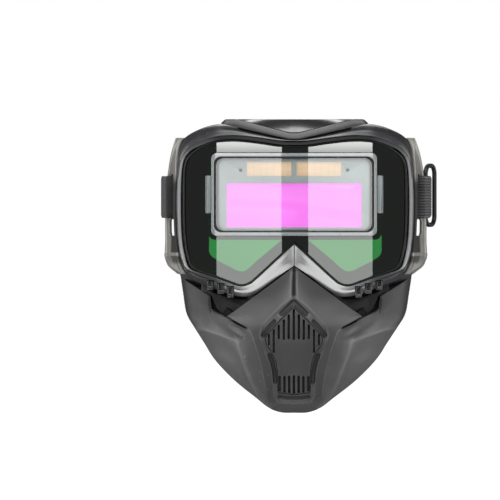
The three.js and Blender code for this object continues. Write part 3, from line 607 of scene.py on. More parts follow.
def pane(name, colour):
    s = Shader(name)
    colour = s.ramp(s.noise(scale=24, detail=2, rough=0.5), tint(colour, 0.94), colour)
    clear = s.node("ShaderNodeBsdfTransparent", {"Color": colour}).outputs[0]
    coated = s.add_shaders(clear, mirror_coat(s, rough=0.0))
    faint = s.add_shaders(clear, s.glossy(level=0.04, rough=0.06))
    return s.finish(front_only(s, coated, faint))

# light passes both faces of the lens, so each takes the square root of the tint
LENS = pane("green_lens", tuple(c ** 0.5 for c in srgb(40, 130, 60)[:3]) + (1,))
COVER = pane("clear_cover", (0.99, 1.0, 0.995, 1))

def coated_grey(name, base, rough):
    s = Shader(name)
    colour = s.ramp(s.noise(scale=30, detail=3, rough=0.5), tint(base, 0.93), tint(base, 1.05))
    bsdf = s.node(PRINCIPLED, {
        "Base Color": colour,
        "Roughness": s.remap(s.noise(scale=140), rough - 0.06, rough + 0.06, start=0.3, stop=0.7),
        "Normal": s.bump(s.noise(scale=1300, detail=3), distance=2e-5, strength=0.6)}).outputs[0]
    return s.finish(front_only(s, s.add_shaders(bsdf, mirror_coat(s, rough=0.02)), bsdf))

BEZEL = coated_grey("bezel_grey", (0.125, 0.142, 0.145), rough=0.3)
PANEL = plastic("panel_grey", (0.165, 0.190, 0.190), rough=0.5, grain=900, depth=2e-5, vary=0.06)

def glow(name, base, emission, diffuse, lines=0):
    """a mostly emissive face, a painted glow on a part that is no lamp; lines: dark upright lines per
    metre
    """
    s = Shader(name)
    colour = s.ramp(s.noise(scale=18, detail=2, rough=0.5), tint(base, 0.96), tint(base, 1.02))
    if lines:
        phase = s.math("FRACT", s.math("MULTIPLY", s.xyz()[0], lines))
        line = s.math("MULTIPLY", s.math("LESS_THAN", phase, 0.06), 0.35)
        colour = s.mix(line, colour, tint(base, 0.55))
    return s.finish(s.node(PRINCIPLED, {
        "Base Color": s.mix(1.0, colour, (diffuse, diffuse, diffuse, 1), "MULTIPLY"),
        "Roughness": 0.15, "Emission Color": colour, "Emission Strength": emission,
        "Specular IOR Level": 0.2}).outputs[0])

# painted glow: the filter, the shutter and the solar cells give off light, though none of them is a
# lamp
GLOWING_MAGENTA = glow("filter_magenta", srgb(255, 128, 246), emission=0.93, diffuse=0.05)
GLOWING_LCD = glow("lcd_stack", srgb(190, 110, 185), emission=0.35, diffuse=0.2)
GLOWING_SOLAR = glow("solar_tan", srgb(234, 202, 166), emission=0.56, diffuse=0.22, lines=210)

def webbing(name, base):
    s = Shader(name)
    x, y, z = s.xyz()
    # cords run along the strap, picks run across it
    cord = s.math("SINE", s.math("MULTIPLY", z, 2 * math.pi * 1000 / 1.0))
    along = s.math("ADD", s.math("MULTIPLY", y, 1.0),
                   s.math("MULTIPLY", s.math("ABSOLUTE", x), 0.35))
    pick = s.math("SINE", s.math("MULTIPLY", along, 2 * math.pi * 1000 / 0.9))
    weave = s.math("ADD", s.math("MULTIPLY", cord, 0.5),
                   s.math("MULTIPLY", s.math("MULTIPLY", cord, pick), 0.5))
    height = s.math("ADD", s.math("MULTIPLY", weave, 0.35),
                    s.noise(scale=2600, detail=3, rough=0.7))
    patch = s.math("ADD", s.math("MULTIPLY", weave, 0.12), s.noise(scale=60))
    colour = s.ramp(patch, tint(base, 0.6), tint(base, 1.5), stop=0.75)
    # the right side has heavy cords 1.98 mm apart; their crowns get a painted highlight and the gaps
    # between them painted shade
    wave = s.math("SINE", s.math("MULTIPLY", s.math("ADD", z, 0.017), math.pi * 1000 / 1.98))
    rib = s.math("POWER", s.math("ABSOLUTE", wave), 1.6)
    side = s.remap(x, 0.0, 1.0, start=0.055, stop=0.075)
    gain = s.math("ADD", s.math("MULTIPLY", s.math("MULTIPLY", rib, side), 3.2),
                  s.math("SUBTRACT", 1.0, s.math("MULTIPLY", side, 0.55)))
    return s.finish(s.node(PRINCIPLED, {
        "Base Color": s.mix(1.0, colour, gain, "MULTIPLY"), "Roughness": 0.85,
        "Normal": s.bump(height, distance=0.00018, strength=0.7), "Sheen Weight": 0.12,
        "Sheen Roughness": 0.4, "Specular IOR Level": 0.25}).outputs[0])

WEB = webbing("black_webbing", (0.014, 0.014, 0.015))

def foam_material(name, base):
    s = Shader(name)
    cells = s.node("ShaderNodeTexVoronoi", {"Scale": 1100, "Vector": s.coord()})
    height = s.math("ADD", cells.outputs["Distance"],
                    s.math("MULTIPLY", s.noise(scale=420, detail=5, rough=0.7), 0.8))
    patch = s.noise(scale=90, detail=5, rough=0.7)
    return s.finish(s.node(PRINCIPLED, {
        "Base Color": s.ramp(patch, tint(base, 0.6), tint(base, 1.5)), "Roughness": 0.95,
        "Normal": s.bump(height, distance=0.0003, strength=0.7), "Sheen Weight": 0.5,
        "Specular IOR Level": 0.2}).outputs[0])

FOAM = foam_material("black_foam", (0.022, 0.022, 0.024))
FELT = foam_material("filter_felt", (0.004, 0.004, 0.0045))

# ------------------------------------------------------------------ goggle frame
BACK = 34.6                               # depth of the frame's back edge
SEAT = 18.4                               # front of the flange behind the lens
SEAT_BACK = 20.4
CLIPS = [(59.4, -60.4), (51.9, -62.4), (45, -64.4)]      # vent clip openings: x, top z
CLIP_BOTTOMS = [-67.2, -69.9, -72.6]
PEGS = [(27, 33), (61, 66)]               # slots for the mask brackets: x from, to

def frame_loops():
    """corner loops of the rim's cross-section, and how far each fine point is a nose point"""
    # round the nose the rim is one flat facet each side, with crisp edges
    nose = fall(np.abs(OUTER[:, 0]), 44, 8) * (OUTER[:, 1] < -40)
    inner_y, mid_y, outer_y = FRONT_Y.T
    width = np.linalg.norm(OUTER - INNER, axis=1)
    outer_y = outer_y - nose * np.maximum(0, outer_y - inner_y - 3.0) * 0.5
    mid_y = mid_y * (1 - nose) + (outer_y + (inner_y - outer_y) * 0.35 - 0.2) * nose

    def lip(dy, distance):
        y = (inner_y + dy) * (1 - nose) + (inner_y + (outer_y - inner_y) * distance / width) * nose
        return rim_loop(toward(INNER_EDGE, OUTER, distance), y)

    wall, flange = toward(OUTER, INNER, 2.4), inset(INNER, 4)
    loops = [rim_loop(OUTER, BACK), rim_loop(OUTER, outer_y),
             rim_loop(mix(OUTER, INNER, 0.35), mid_y),
             lip(0.35, 3.3), lip(1.1, 2.9), lip(0.45, 2.5), lip(-0.2, 0.3),
             rim_loop(INNER_EDGE, inner_y + 1.0 - 0.6 * nose), rim_loop(INNER, SEAT),
             rim_loop(flange, SEAT), rim_loop(flange, SEAT_BACK),
             rim_loop(wall, SEAT_BACK), rim_loop(wall, BACK)]
    for loop in loops[1:8]:
        loop[NOSE * SUB, 1] += 0.12
    n = len(nose)
    fine = np.interp(np.arange(n * SUB) / SUB, np.arange(n + 1), np.append(nose, nose[0]))
    return loops, fine[:, None]

def frame_shade(co):
    """recesses at the top lip, the upper corners, the sides and below"""
    x, z = np.abs(co[:, 0]), co[:, 2]
    out = signed_distance(co[:, [0, 2]], INNER_EDGE)
    top = fall(out, 3.5, 0.8) * rise(z, 22, 6) * (0.92 - 0.55 * rise(x, 52, 12))
    corner = 0.6 * rise(out, 3.2, 0.8) * rise(x, 50, 8) * rise(z, 20, 6)
    side = 0.97 * rise(out, 2.9, 0.8) * rise(x, 66, 8) * fall(z, 26, 6) * rise(z, -56, 8)
    low = 0.55 * rise(x, 50, 8) * fall(z, -48, 6)
    return np.maximum.reduce([top, corner, side, low])

def goggle_frame():
    loops, nose = frame_loops()
    radii = [0.8, 2.4 - 2.0 * nose, 2.6 - 1.8 * nose, 0.3, 0.3, 0.5, 0.5, 0.5, 0.3,
             0.4, 0.4, 0.4, 0.6]
    ob = ring("goggle_frame_shell", fillet(loops, radii, 5), FRAME)
    tools = []
    for s in (1, -1):
        for (x, top), bottom in zip(CLIPS, CLIP_BOTTOMS):
            y = wrap(x)
            tools.append(box(s * x - 2.6, s * x + 2.6, y + 5, y + 22.5, bottom - 8, top))
        for a, b in PEGS:
            y = wrap((a + b) / 2)
            tools.append(box(min(s * a, s * b) - 0.5, max(s * a, s * b) + 0.5,
                             y + 24, y + 28, -80, -57))
    cut(ob, joined("tools", tools))
    smooth(ob, 42)
    paint(ob, "shade", frame_shade(coords_mm(ob)))
    put_on(ob, "goggle", "goggle_frame")
    return ob

goggle = goggle_frame()

# ------------------------------------------------------------------ brow
PANEL_TOP = 52.8

def brow_low(a):
    return 38.6 if a < 3.5 else 38.6 + (a - 3.5) * 11 / 48

def brow_high(a):
    return 43 if a < 3 else min(PANEL_TOP, 43 + (a - 3) * 9.8 / 38.3)

def soften(profile, x, width):
    """the profile averaged over a short span, so its kinks are rounded"""
    return sum(profile(abs(x + d * width / 3)) for d in range(-3, 4)) / 7

def brow_band():
    sections = []
    for x in np.linspace(-52, 52, 105):
        y = wrap(x)
        low, high = soften(brow_low, x, 0.8), soften(brow_high, x, 0.5)
        high -= max(0.0, abs(x) - 48.6) * 0.9
        corners = [(x, 9.3 + y, low), (x, 10.4 + y, high), (x, 13.4 + y, high), (x, 11.2 + y, low)]
        sections.append(fillet_section(corners, [0.5, 0.7, 0.5, 0.4]))
    ob = loft("brow_band_moulded", sections, SATIN)
    smooth(ob, 50)
    put_on(ob, "goggle", "brow_band")

def brow_panel():
    sections = []
    for x in np.linspace(-40.2, 40.2, 83):
        y = wrap(x)
        low = min(52.5, soften(brow_high, x, 0.5) + 0.3)
        base = float(np.interp(abs(x), OUTER[:5, 0], OUTER[:5, 1])) + 0.8
        corners = [(x, 12 + y, low), (x, 15.2 + y, low + (PANEL_TOP - low) * 0.55),
                   (x, 19 + y, PANEL_TOP), (x, 31 + y, PANEL_TOP), (x, 31 + y, base),
                   (x, 14.4 + y, base), (x, 14.4 + y, low)]
        sections.append(fillet_section(corners, [0.4, 2.0, 0.9, 0.9, 0.6, 0.3, 0.2]))
    ob = loft("brow_panel_moulded", sections, SATIN)
    smooth(ob, 50)
    put_on(ob, "goggle", "brow_panel")

brow_band()
brow_panel()

# ------------------------------------------------------------------ lens, gaskets, inner frame
CART_W, CART_H = 116.0, 58.0              # cartridge face
LENS_GASKET = [(0.3, 12.9), (1.1, 12.9), (1.1, 16.5), (3.6, 16.5), (3.6, 18), (0.3, 18)]  # inset, y

def front_lens():
    hole = rounded_rect(CART_W + 0.8, CART_H + 0.8, 3.0, 6)
    outline = rim_loop(inset(INNER, 1.45), 0)[:, ::2]
    ob = curved_plate("front_lens_pane", outline, [hole], 14, 2.1, LENS)
    smooth(ob, 30)
    put_on(ob, "goggle", "front_lens")

def lens_gasket():
    loops = [rim_loop(inset(INNER, d), y) for d, y in LENS_GASKET]
    ob = ring("lens_gasket_seal", fillet(loops, 0.3, 3), RUBBER)
    put_on(ob, "goggle", "lens_gasket")

def rect_ring(name, outer, inner, y0, y1):
    """a rectangular ring on the wrap; outer and inner are width, height, corner radius"""
    def dense(loop):
        """more points on the long sides, so that they follow the wrap"""
        out = []
        for p, q in zip(loop, np.roll(loop, -1, 0)):
            count = 24 if np.linalg.norm(q - p) > 20 else 1
            out += [p + (q - p) * j / count for j in range(count)]
        return np.array(out)

    a, b = (dense(rounded_rect(*size, 8)) for size in (outer, inner))
    loops = [at(loop, y + wrap(loop[:, 0])) for loop, y in ((a, y0), (b, y0), (b, y1), (a, y1))]
    return ring(name, fillet(loops, 0.3, 3), RUBBER)

def cartridge_gasket():
    seal = rect_ring("u", (CART_W, CART_H, 2.6), (113.0, 55.0, 1.8), 13.4, 16.8)
    flange = rect_ring("t", (122.5, 64.0, 5.0), (114.0, 56.0, 3.0), 16.5, 17.6)
    ob = joined("cartridge_gasket_seal", [seal, flange], RUBBER)
    smooth(ob)
    put_on(ob, "goggle", "cartridge_gasket")

def inner_frame():
    outline, eye = (rim_loop(loop, 0)[:, ::2] for loop in (inset(OUTER, 0.8), EYE))
    ob = curved_plate("inner_frame_carrier", outline, [eye], 35, 2, RUBBER)
    add_bevel(ob, 0.5, 2, 50)
    apply(ob)
    smooth(ob, 30)
    put_on(ob, "goggle", "inner_frame")

front_lens()
lens_gasket()
cartridge_gasket()
inner_frame()

# ------------------------------------------------------------------ face skirt and foam
# Skirt cross-section: inset from the rim, y, share of the lower flare, corner radius
SKIRT = [(0.6, 37.4, 0, 0.4), (1.6, 40.2, 0, 1.2), (0.7, 42.4, 0, 1.2), (1.9, 44.8, 1, 1.2),
         (1.2, 48.6, 1, 1.0), (9.0, 49.4, 0, 0.5), (9.0, 47.8, 0, 0.5), (3.4, 46.8, 0.8, 1.0),
         (3.4, 44.8, 0.8, 0.6), (2.6, 42.4, 0, 0.8), (3.2, 40.2, 0, 0.8), (2.6, 37.4, 0, 0.3)]
# Foam cross-section: share of the way from outer to inner edge, share of the height
FOAM_PROFILE = [
    (0.0, 0.0), (-0.02, 0.18), (0.0, 0.30), (0.035, 0.335), (0.0, 0.37), (-0.03, 0.6),
    (0.0, 0.8), (0.10, 0.94), (0.26, 1.0), (0.5, 1.02), (0.74, 1.0), (0.90, 0.94), (1.0, 0.8),
    (1.03, 0.6), (1.0, 0.37), (0.965, 0.335), (1.0, 0.30), (1.02, 0.15), (1.0, 0.0)]
FOAM_Y = 49.9

def face_skirt():
    x = np.abs(OUTER[:, 0])
    flare = fall(OUTER[:, 1], -38, 14) * (5.0 + 2.6 * rise(x, 24, 8) * fall(x, 84, 10))
    loops = []
    for distance, y, share, _ in SKIRT:
        loop = inset(OUTER, distance)
        outward = inset(OUTER, distance - 1.0) - loop
        loops.append(rim_loop(loop + outward * (flare * share)[:, None], y))
    ob = ring("face_skirt_rubber", fillet(loops, [row[3] for row in SKIRT]), RUBBER)
    put_on(ob, "goggle", "face_skirt")

def face_foam():
    outer, inner = rim_loop(inset(OUTER, 2.3), FOAM_Y), rim_loop(inset(OUTER, 9.2), FOAM_Y)
    x = outer[:, 0]
    # flat at the forehead, wrapped elsewhere, averaged so that the two meet softly
    back = np.where((outer[:, 2] > 20) & (np.abs(x) < 30), 59.4, 57.2 + wrap(x))
    back = np.convolve(np.concatenate([back[-4:], back, back[:4]]), np.ones(9) / 9, "valid")
    loops = []
    for across, height in FOAM_PROFILE:
        loop = mix(outer, inner, across)
        y = FOAM_Y + wrap(loop[:, 0])
        loop[:, 1] = y + (back + 0.1 - y) * height
        loops.append(loop)
    ob = ring("face_foam_pad", loops, FOAM)
    m = ob.modifiers.new("s", "SUBSURF")
    m.levels = m.render_levels = 1
    apply(ob)
    # uneven, compressed foam
    verts = ob.data.vertices
    co, normal = np.zeros(len(verts) * 3), np.zeros(len(verts) * 3)
    verts.foreach_get("co", co)
    verts.foreach_get("normal", normal)
    co = co.reshape(-1, 3)
    lift = np.array([noise.noise(Vector(c) * 160) * 0.22 + noise.noise(Vector(c) * 520) * 0.07
                     for c in co]) * MM
    co += normal.reshape(-1, 3) * lift[:, None]
    verts.foreach_set("co", co.ravel())
    ob.data.update()
    smooth(ob)
    put_on(ob, "goggle", "face_foam")

face_skirt()
face_foam()

# ------------------------------------------------------------------ strap wings
WING_IN, WING_OUT = np.array([84.7, 51.0]), np.array([90.9, 74.6])      # plan line: x, y
WING_DIR = (WING_OUT - WING_IN) / float(np.hypot(*(WING_OUT - WING_IN)))
WING_NORMAL = np.array([WING_DIR[1], -WING_DIR[0]])
WING_SHIFT = 0.9                          # added to every wing x
# Wing by height: z, inner x, inner y, outer x, outer y
WING = np.array([
    (39.8, 79.9, 46.4, 83.3, 50), (33, 82.6, 48.2, 85.3, 56), (25, 83.8, 49.8, 87.2, 64),
    (17, *WING_IN, 88.6, 70.5), (6, *WING_IN, 90.0, 73.5), (-10, *WING_IN, *WING_OUT),
    (-32, *WING_IN, *WING_OUT), (-42, 83.4, 50.4, 91.3, 75), (-50, 81.4, 50, 89, 68),
    (-56.5, 77.6, 47.6, 81.7, 54)])
# Openings: width, height, place along the wing, z
WING_HOLES = [(5.0, 43, 9.1, -7.5), (12.0, 11.5, 9.0, -23.6)]
FRAME_SIDE = OUTER_FINE[OUTER_FINE[:, 0] > 55]
FRAME_SIDE = FRAME_SIDE[np.argsort(FRAME_SIDE[:, 2])]

def wing_point(along, out):
    """plan point along the wing and out from its mid-plane"""
    x, y = WING_IN + WING_DIR * along + WING_NORMAL * out
    return np.array([x + WING_SHIFT, y])

def wing_section(z, inner, outer):
    side = float(np.interp(z, FRAME_SIDE[:, 2], FRAME_SIDE[:, 0]))
    pull = max((inner[0] + WING_SHIFT - 1.5) - (side + 0.1), 0.0) + 1.7
    if pull < 7:                          # reach into the side of the frame
        inner = inner + np.array([-pull, -pull * 0.1])
    length = max(np.hypot(*(outer - inner)), 1e-6)
    direction = (outer - inner) / length
    normal = np.array([direction[1], -direction[0]])
    step = 0.45 * float(fall(z, -41.4, 1.6))      # the foot below the ledge stands out a little

    def point(share, out):
        plan = inner + (outer - inner) * share + normal * out + np.array([WING_SHIFT, 0])
        return (*plan, z)

    e = min(3.0 / length, 0.3)            # width of the raised edges, as a share
    corners = [point(0, -1.3), point(0, 1.2 + step), point(e, 1.3 + step),
               point(e * 1.5, 0.9 + step), point(1 - e * 1.4, 0.9 + step),
               point(1 - e, 1.3 + step), point(1, 1.1 + step), point(1, -1.3)]
    return fillet_section(corners, [0.6, 0.7, 0.4, 0.3, 0.3, 0.4, 0.8, 0.8], 3)

def wing_shade(ob):
    co = coords_mm(ob)
    normal_y = np.array([v.normal[1] for v in ob.data.vertices])
    z = co[:, 2]
    edge = np.interp(z, WING[::-1, 0], WING[::-1, 3]) + WING_SHIFT - np.abs(co[:, 0])
    mid = rise(edge, 3.2, 1.2) * fall(z, 16, 10) * rise(z, -41.8, 0.8)
    foot = 0.9 * rise(edge, 2.6, 1.4) * fall(z, -43.2, 0.8) * rise(z, -52, 5)
    low = 0.45 * fall(z, -42.6, 2)
    return np.maximum(np.maximum(mid, foot), low) * (normal_y < 0.6)

def strap_wing(side):
    heights = np.concatenate([np.linspace(39.8, -41, 90), np.linspace(-41.4, -43.4, 8),
                              np.linspace(-44, -56.5, 20)])
    columns = [monotone(WING[:, 0], WING[:, k], heights) for k in range(1, 5)]
    sections = [wing_section(z, np.array([xi, yi]), np.array([xo, yo]))
                for z, xi, yi, xo, yo in zip(heights, *columns)]
    ob = loft("strap_wing_moulded_" + side, sections, SMOKE)
    holes = []
    for width, height, along, z in WING_HOLES:
        outline = rounded_rect(width, height, 2.0, 5)
        holes.append(slab(*([(*wing_point(along + u, out), z + v) for u, v in outline]
                            for out in (-6, 6))))
    cut(ob, *holes)
    remesh(ob, 0.42, 3, SMOKE)
    paint(ob, "shade", wing_shade(ob))
    if side == "left":
        mirror(ob)
    put_on(ob, "goggle", "strap_wing_" + side)

strap_wing("right")
strap_wing("left")

# ------------------------------------------------------------------ webbing
WEB_BOTTOM, WEB_TOP = -17.0, 12.7
RIBS = 15
FACE = 2.65                               # webbing centre line from the wing's mid-plane
RIB_HEAVY, RIB_LIGHT = 0.34, 0.07
# Rear strap in plan, from the right side round the back to the left: x, y
STRAP_PATH = [
    (94.6, 84), (94.7, 97), (94.85, 110), (94.9, 130), (94.85, 152), (90.6, 168.4),
    (80.7, 180.8), (64.4, 190), (42.2, 196), (20, 199), (0, 200), (-20, 199), (-40.2, 195.5),
    (-58.4, 188), (-72.7, 177.8), (-82.9, 163.6), (-88.5, 146.4), (-90.1, 130), (-90.1, 115),
    (-90.1, 104), (-90.1, 94)]

def web_band(name, path, thick, rib):
    """flat webbing along a plan path, with ribs along it on both faces"""
    steps = RIBS * 6
    face = []
    for i in range(steps + 1):
        f = i / steps
        height = WEB_BOTTOM + 0.35 + (WEB_TOP - WEB_BOTTOM - 0.7) * f
        crown = rib * abs(math.sin(math.pi * RIBS * f)) ** 0.7
        edge = min(1.0, min(f, 1 - f) * RIBS * 1.2)
        face.append((thick / 2 - 0.28 * (1 - edge) * thick - rib + crown, height))
    profile = face + [(0.0, WEB_TOP)] + [(-out, z) for out, z in face[::-1]] + [(0.0, WEB_BOTTOM)]
    out, z = np.array(profile).T
    sections = []
    for i, (x, y) in enumerate(path):
        delta = path[min(i + 1, len(path) - 1)] - path[max(i - 1, 0)]
        dx, dy = delta / max(np.hypot(*delta), 1e-9)
        sections.append(np.column_stack([x + dy * out, y + -dx * out, z]))
    ob = loft(name, sections, WEB)
    smooth(ob, 60)
    return ob

def end_path(tail):
    """from the tail at y = tail, round the wing's post and back"""
    points = [(92.2, tail), (92.2, tail * 0.5 + 42), (92.3, 84.0), (93.2, 80.0)]
    points += [wing_point(u, FACE) for u in (26.2, 23, 18, 13)] + [wing_point(11.2, 2.6)]
    for degrees in (40, 75, 105, 140):
        a = math.radians(degrees)
        points.append(wing_point(10.9 - 1.9 * math.sin(a), 2.6 * math.cos(a)))
    points += [wing_point(u, -FACE) for u in (11.2, 13, 18, 23, 25.6)]
    points += [(90.35, 79.4), (90.55, 83.0)]
    return spline(np.array(points), 6, closed=False)

def strap():
    right = web_band("strap_end_right_webbing", end_path(88), 1.7, RIB_HEAVY)
    put_on(right, "goggle", "strap_end_right")
    left = web_band("strap_end_left_webbing", end_path(112), 1.7, RIB_LIGHT)
    mirror(left)
    put_on(left, "goggle", "strap_end_left")
    rear = web_band("strap_rear_webbing", spline(STRAP_PATH, 10, closed=False), 1.95, RIB_HEAVY)
    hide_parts("strap_rear")
    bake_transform(rear)

def adjuster():
    """a rounded wire loop, standing on a plan line from start to end"""
    start, end = np.array([91.85, 101.0]), np.array([98.1, 117.0])
    centre_z, half_height, corner = -1.0, 21.0, 6.2
    wire_radius, sides = 1.65, 18
    q = corner / float(np.hypot(*(end - start)))
    path = []
    for cu, cz, first in ((1 - q, half_height - corner, 0), (q, half_height - corner, 90),
                          (q, -half_height + corner, 180), (1 - q, -half_height + corner, 270)):
        for i in range(13):
            a = math.radians(first + 7.5 * i)
            x, y = start + (end - start) * (cu + q * math.cos(a))
            path.append((x, y, centre_z + (cz + corner * math.sin(a))))
    path = np.array(path)
    loops, across = [], None
    for i, point in enumerate(path):
        tangent = path[(i + 1) % len(path)] - path[i - 1]
        tangent = tangent / np.linalg.norm(tangent)
        if across is None:
            across = np.cross(tangent, [1.0, 0, 0])
        else:
            across = across - tangent * np.dot(across, tangent)
        across = across / np.linalg.norm(across)
        third = np.cross(tangent, across)
        turns = [2 * math.pi * j / sides for j in range(sides)]
        loops.append(np.array([point + wire_radius * (math.cos(a) * across + math.sin(a) * third)
                               for a in turns]))
    put_on(ring("strap_adjuster_loop", loops, WIRE), "adjuster", "strap_adjuster")

strap()
adjuster()

# ------------------------------------------------------------------ cartridge
# Bezel cross-section: width, height, corner radius, y, rounding
BEZEL_SECTION = [
    (CART_W, CART_H, 4, 9, 0.6), (CART_W, CART_H, 4, 0.7, 0.5), (114.4, 56.4, 3.4, 0.02, 0.5),
    (113.4, 53.9, 5.4, 0.02, 0.35), (112.3, 53.0, 5.2, 0.6, 0.2), (112.3, 53.0, 5.2, 2.1, 0.2),
    (106, 49.4, 5, 2.1, 0.3), (106, 49.4, 5, 3.2, 0.3), (113, 55, 2.6, 3.2, 0.4),
    (113, 55, 2.6, 9, 0.4)]
# Front cover plate: width, height, corner radius, y
COVER_SECTION = [(108.6, 50.4, 5.4, 0.02), (109.2, 51.0, 5.7, 0.3), (109.2, 51.0, 5.7, 1.45),
                 (108.6, 50.4, 5.4, 1.7)]

def bezel():
    loops = [at(rounded_rect(w, h, r), y) for w, h, r, y, _ in BEZEL_SECTION]
    ob = ring("cartridge_bezel_shell", fillet(loops, [row[4] for row in BEZEL_SECTION]), BEZEL)
    # the window step gets black rubber: a dark line of painted shade in the gap round the cover
    ob.data.materials.append(RUBBER)
    for face in ob.data.polygons:         # the step round the window is rubber
        x, y, z = face.center / MM
        if 0.45 < y < 3.3 and abs(x) < 56.4 and abs(z) < 26.8:
            face.material_index = 1
    smooth(ob, 40)
    put_on(ob, "cartridge", "cartridge_bezel")

def front_cover():
    sections = [at(rounded_rect(w, h, r), y) for w, h, r, y in COVER_SECTION]
    ob = loft("cover_plate_front_pane", sections, COVER)
    ob.data.shade_flat()
    put_on(ob, "cartridge", "cover_plate_front")

bezel()
front_cover()

# ------------------------------------------------------------------ CAD pieces kept as they are
# They get rounded edges and a finish: node, material, edge width, edge segments
DRESSED = [
    ("vent_foam_top", FOAM, 0.6, 3), ("front_panel", PANEL, 0.12, 2),
    ("filter_glass", GLOWING_MAGENTA, 0.1, 1), ("lcd_shutter", GLOWING_LCD, 0.1, 1),
    ("cartridge_housing", BEZEL, 0.4, 3), ("circuit_board", BOARD, 0.1, 1),
    ("backup_cell", CELL, 0.4, 3), ("cover_plate_rear", COVER, 0.3, 2),
    ("filter_retainer", MATTE, 0.4, 2)]
for side in ("left", "right"):
    DRESSED += [(f"vent_clip_{side}_{i}", SATIN, 0.5, 3) for i in (1, 2, 3)]
    DRESSED += [("solar_cell_" + side, GLOWING_SOLAR, 0.08, 1), ("arc_sensor_" + side, RUBBER, 0.2, 2),
                ("cartridge_latch_" + side, BEZEL, 0.6, 3)]

for node, mat, width, segments in DRESSED:
    ob = NODES[node]
    ob.data.materials.clear()
    ob.data.materials.append(mat)
    weld = ob.modifiers.new("weld", "WELD")
    weld.merge_threshold = 2e-6
    add_bevel(ob, width, segments, 30)
    for face in ob.data.polygons:
        face.use_smooth = True

# ------------------------------------------------------------------ mask
# Muzzle from top to bottom: z, half width, y at the side edge, y at the centre
MUZZLE = np.array([
    (-50.8, 0.8, 5.2, 5), (-54.5, 5, 6.2, 3.2), (-58.3, 10, 8, 1.2), (-65.7, 20, 11, -3),
    (-73.1, 30, 13, -6.2), (-80.5, 40, 17, -8.6), (-85.6, 47.4, 20, -9.6),
    (-86.8, 45.6, 18.6, -9.8), (-90.4, 39, 12.8, -10.3), (-94.5, 32, 7, -10.6),
    (-103.5, 28, 3, -10.6), (-113, 25.2, 2.8, -9.6), (-122.4, 22.8, 3.4, -8),
    (-131, 21.2, 4.6, -5.2), (-139.9, 19.8, 7, -1.2), (-146, 18.6, 10.5, 3),
    (-150, 16.6, 13.2, 8), (-152.6, 9.5, 14.2, 11.6)])
TOP, WIDEST, BOTTOM = -50.8, -86.2, -152.6
# Recess round the grille and the grille plate, +X halves: x, z
RECESS = full([(0, -70.6), (9.6, -78), (23.2, -91.3), (24.5, -99), (21.5, -110), (17.5, -118),
               (15.4, -127), (14.8, -134), (14.8, -141), (11.9, -146), (0, -147)])
PLATE = full([(0, -77.6), (8.6, -85.8), (14.0, -91.6), (19.4, -97.8), (20.6, -101.5),
              (19.8, -106), (15.6, -111.5), (13.2, -117), (12.1, -124), (11.9, -132),
              (11.7, -139.6), (0, -140.8)])
PLATE_GAP = 0.75
SKIN = 3.6                                # muzzle depth from front to back
# Grooves round the plate: line of x, z; width
STROKES = [([(-8.6, -83.5), (0, -75.4), (8.6, -83.5)], 3.5)]
for s in (1, -1):
    STROKES += [([(s * 13.8, -88.9), (s * 18.0, -93.2), (s * 21.4, -98.8)], 3.2),
                ([(s * 16.9, -112.5), (s * 14.8, -118), (s * 13.6, -124), (s * 13.2, -131.3)], 3.0)]
STROKES.append(([(-10.2, -141.9), (-5, -142.7), (5, -142.7), (10.2, -141.9)], 2.4))

def muzzle_row(z):
    """half width, edge y and centre y at a height"""
    z = np.asarray(z, float)
    down = -MUZZLE[:, 0]
    half = np.where(z >= WIDEST, np.interp(-z, down[:7], MUZZLE[:7, 1]),
                    monotone(down[7:], MUZZLE[7:, 1], np.clip(-z, down[7], -BOTTOM)))
    return half, monotone(down, MUZZLE[:, 2], -z), monotone(down, MUZZLE[:, 3], -z)

def muzzle_y(x, z):
    half, edge, centre = muzzle_row(z)
    return centre + (edge - centre) * np.minimum(1.3, np.abs(x) / half) ** 1.7

def recess_depth(points):
    return 1.7 * smooth01(-signed_distance(points, RECESS) / 2.6)

def muzzle_relief(x, z):
    points = np.column_stack([np.ravel(x), np.ravel(z)])
    y = recess_depth(points)
    for line, width in STROKES:
        y = y + 1.3 * fall(line_distance(points, line), width / 2 + 0.25, 0.55)
    # a soft groove down the nose, which runs out into the recess
    nose = (fall(np.abs(points[:, 0]), 2.6, 2.4) * rise(points[:, 1], -73.5, 2.0)
            * fall(points[:, 1], -52.0, 2.5))
    return (y + 0.8 * nose).reshape(np.shape(x))

def plate_relief(x, z):
    points = np.column_stack([np.ravel(x), np.ravel(z)])
    raised = smooth01((-signed_distance(points, PLATE) - PLATE_GAP) / 1.0)
    return (recess_depth(points) - 0.75 * raised).reshape(np.shape(x))

def muzzle():
    heights = np.concatenate([np.linspace(TOP, -85.6, 60), np.linspace(-86.0, -94.5, 16),
                              np.linspace(-95, BOTTOM, 100)])
    across = np.linspace(-1, 1, 121)
    half, edge, centre = (row[:, None] for row in muzzle_row(heights))
    x = half * across[None, :]
    z = np.repeat(heights[:, None], len(across), 1)
    y = centre + (edge - centre) * np.abs(across)[None, :] ** 1.7
    # the crease at the widest height is eased away from the centre and the edges
    weights = (1, 2, 3, 4, 4, 4, 3, 2, 1)
    eased = sum(muzzle_y(x, np.clip(z + (i - 4) * 1.5, BOTTOM, TOP)) * weight
                for i, weight in enumerate(weights)) / sum(weights)
    near = (fall(np.abs(z - WIDEST), 9, 4) * fall(np.abs(across)[None, :], 1.0, 0.22)
            * rise(np.abs(x), 9, 6))
    y = y + (eased - y) * near
    front_y = y + muzzle_relief(x, z)
    back_y = np.maximum(y + SKIN, front_y + 1.5)
    ob = sheet("muzzle", grid(x, front_y, z), grid(x * 0.99, back_y, z), MATTE)
    cut(ob, prism(inset(PLATE, PLATE_GAP - 0.28), -40, 30))
    return ob

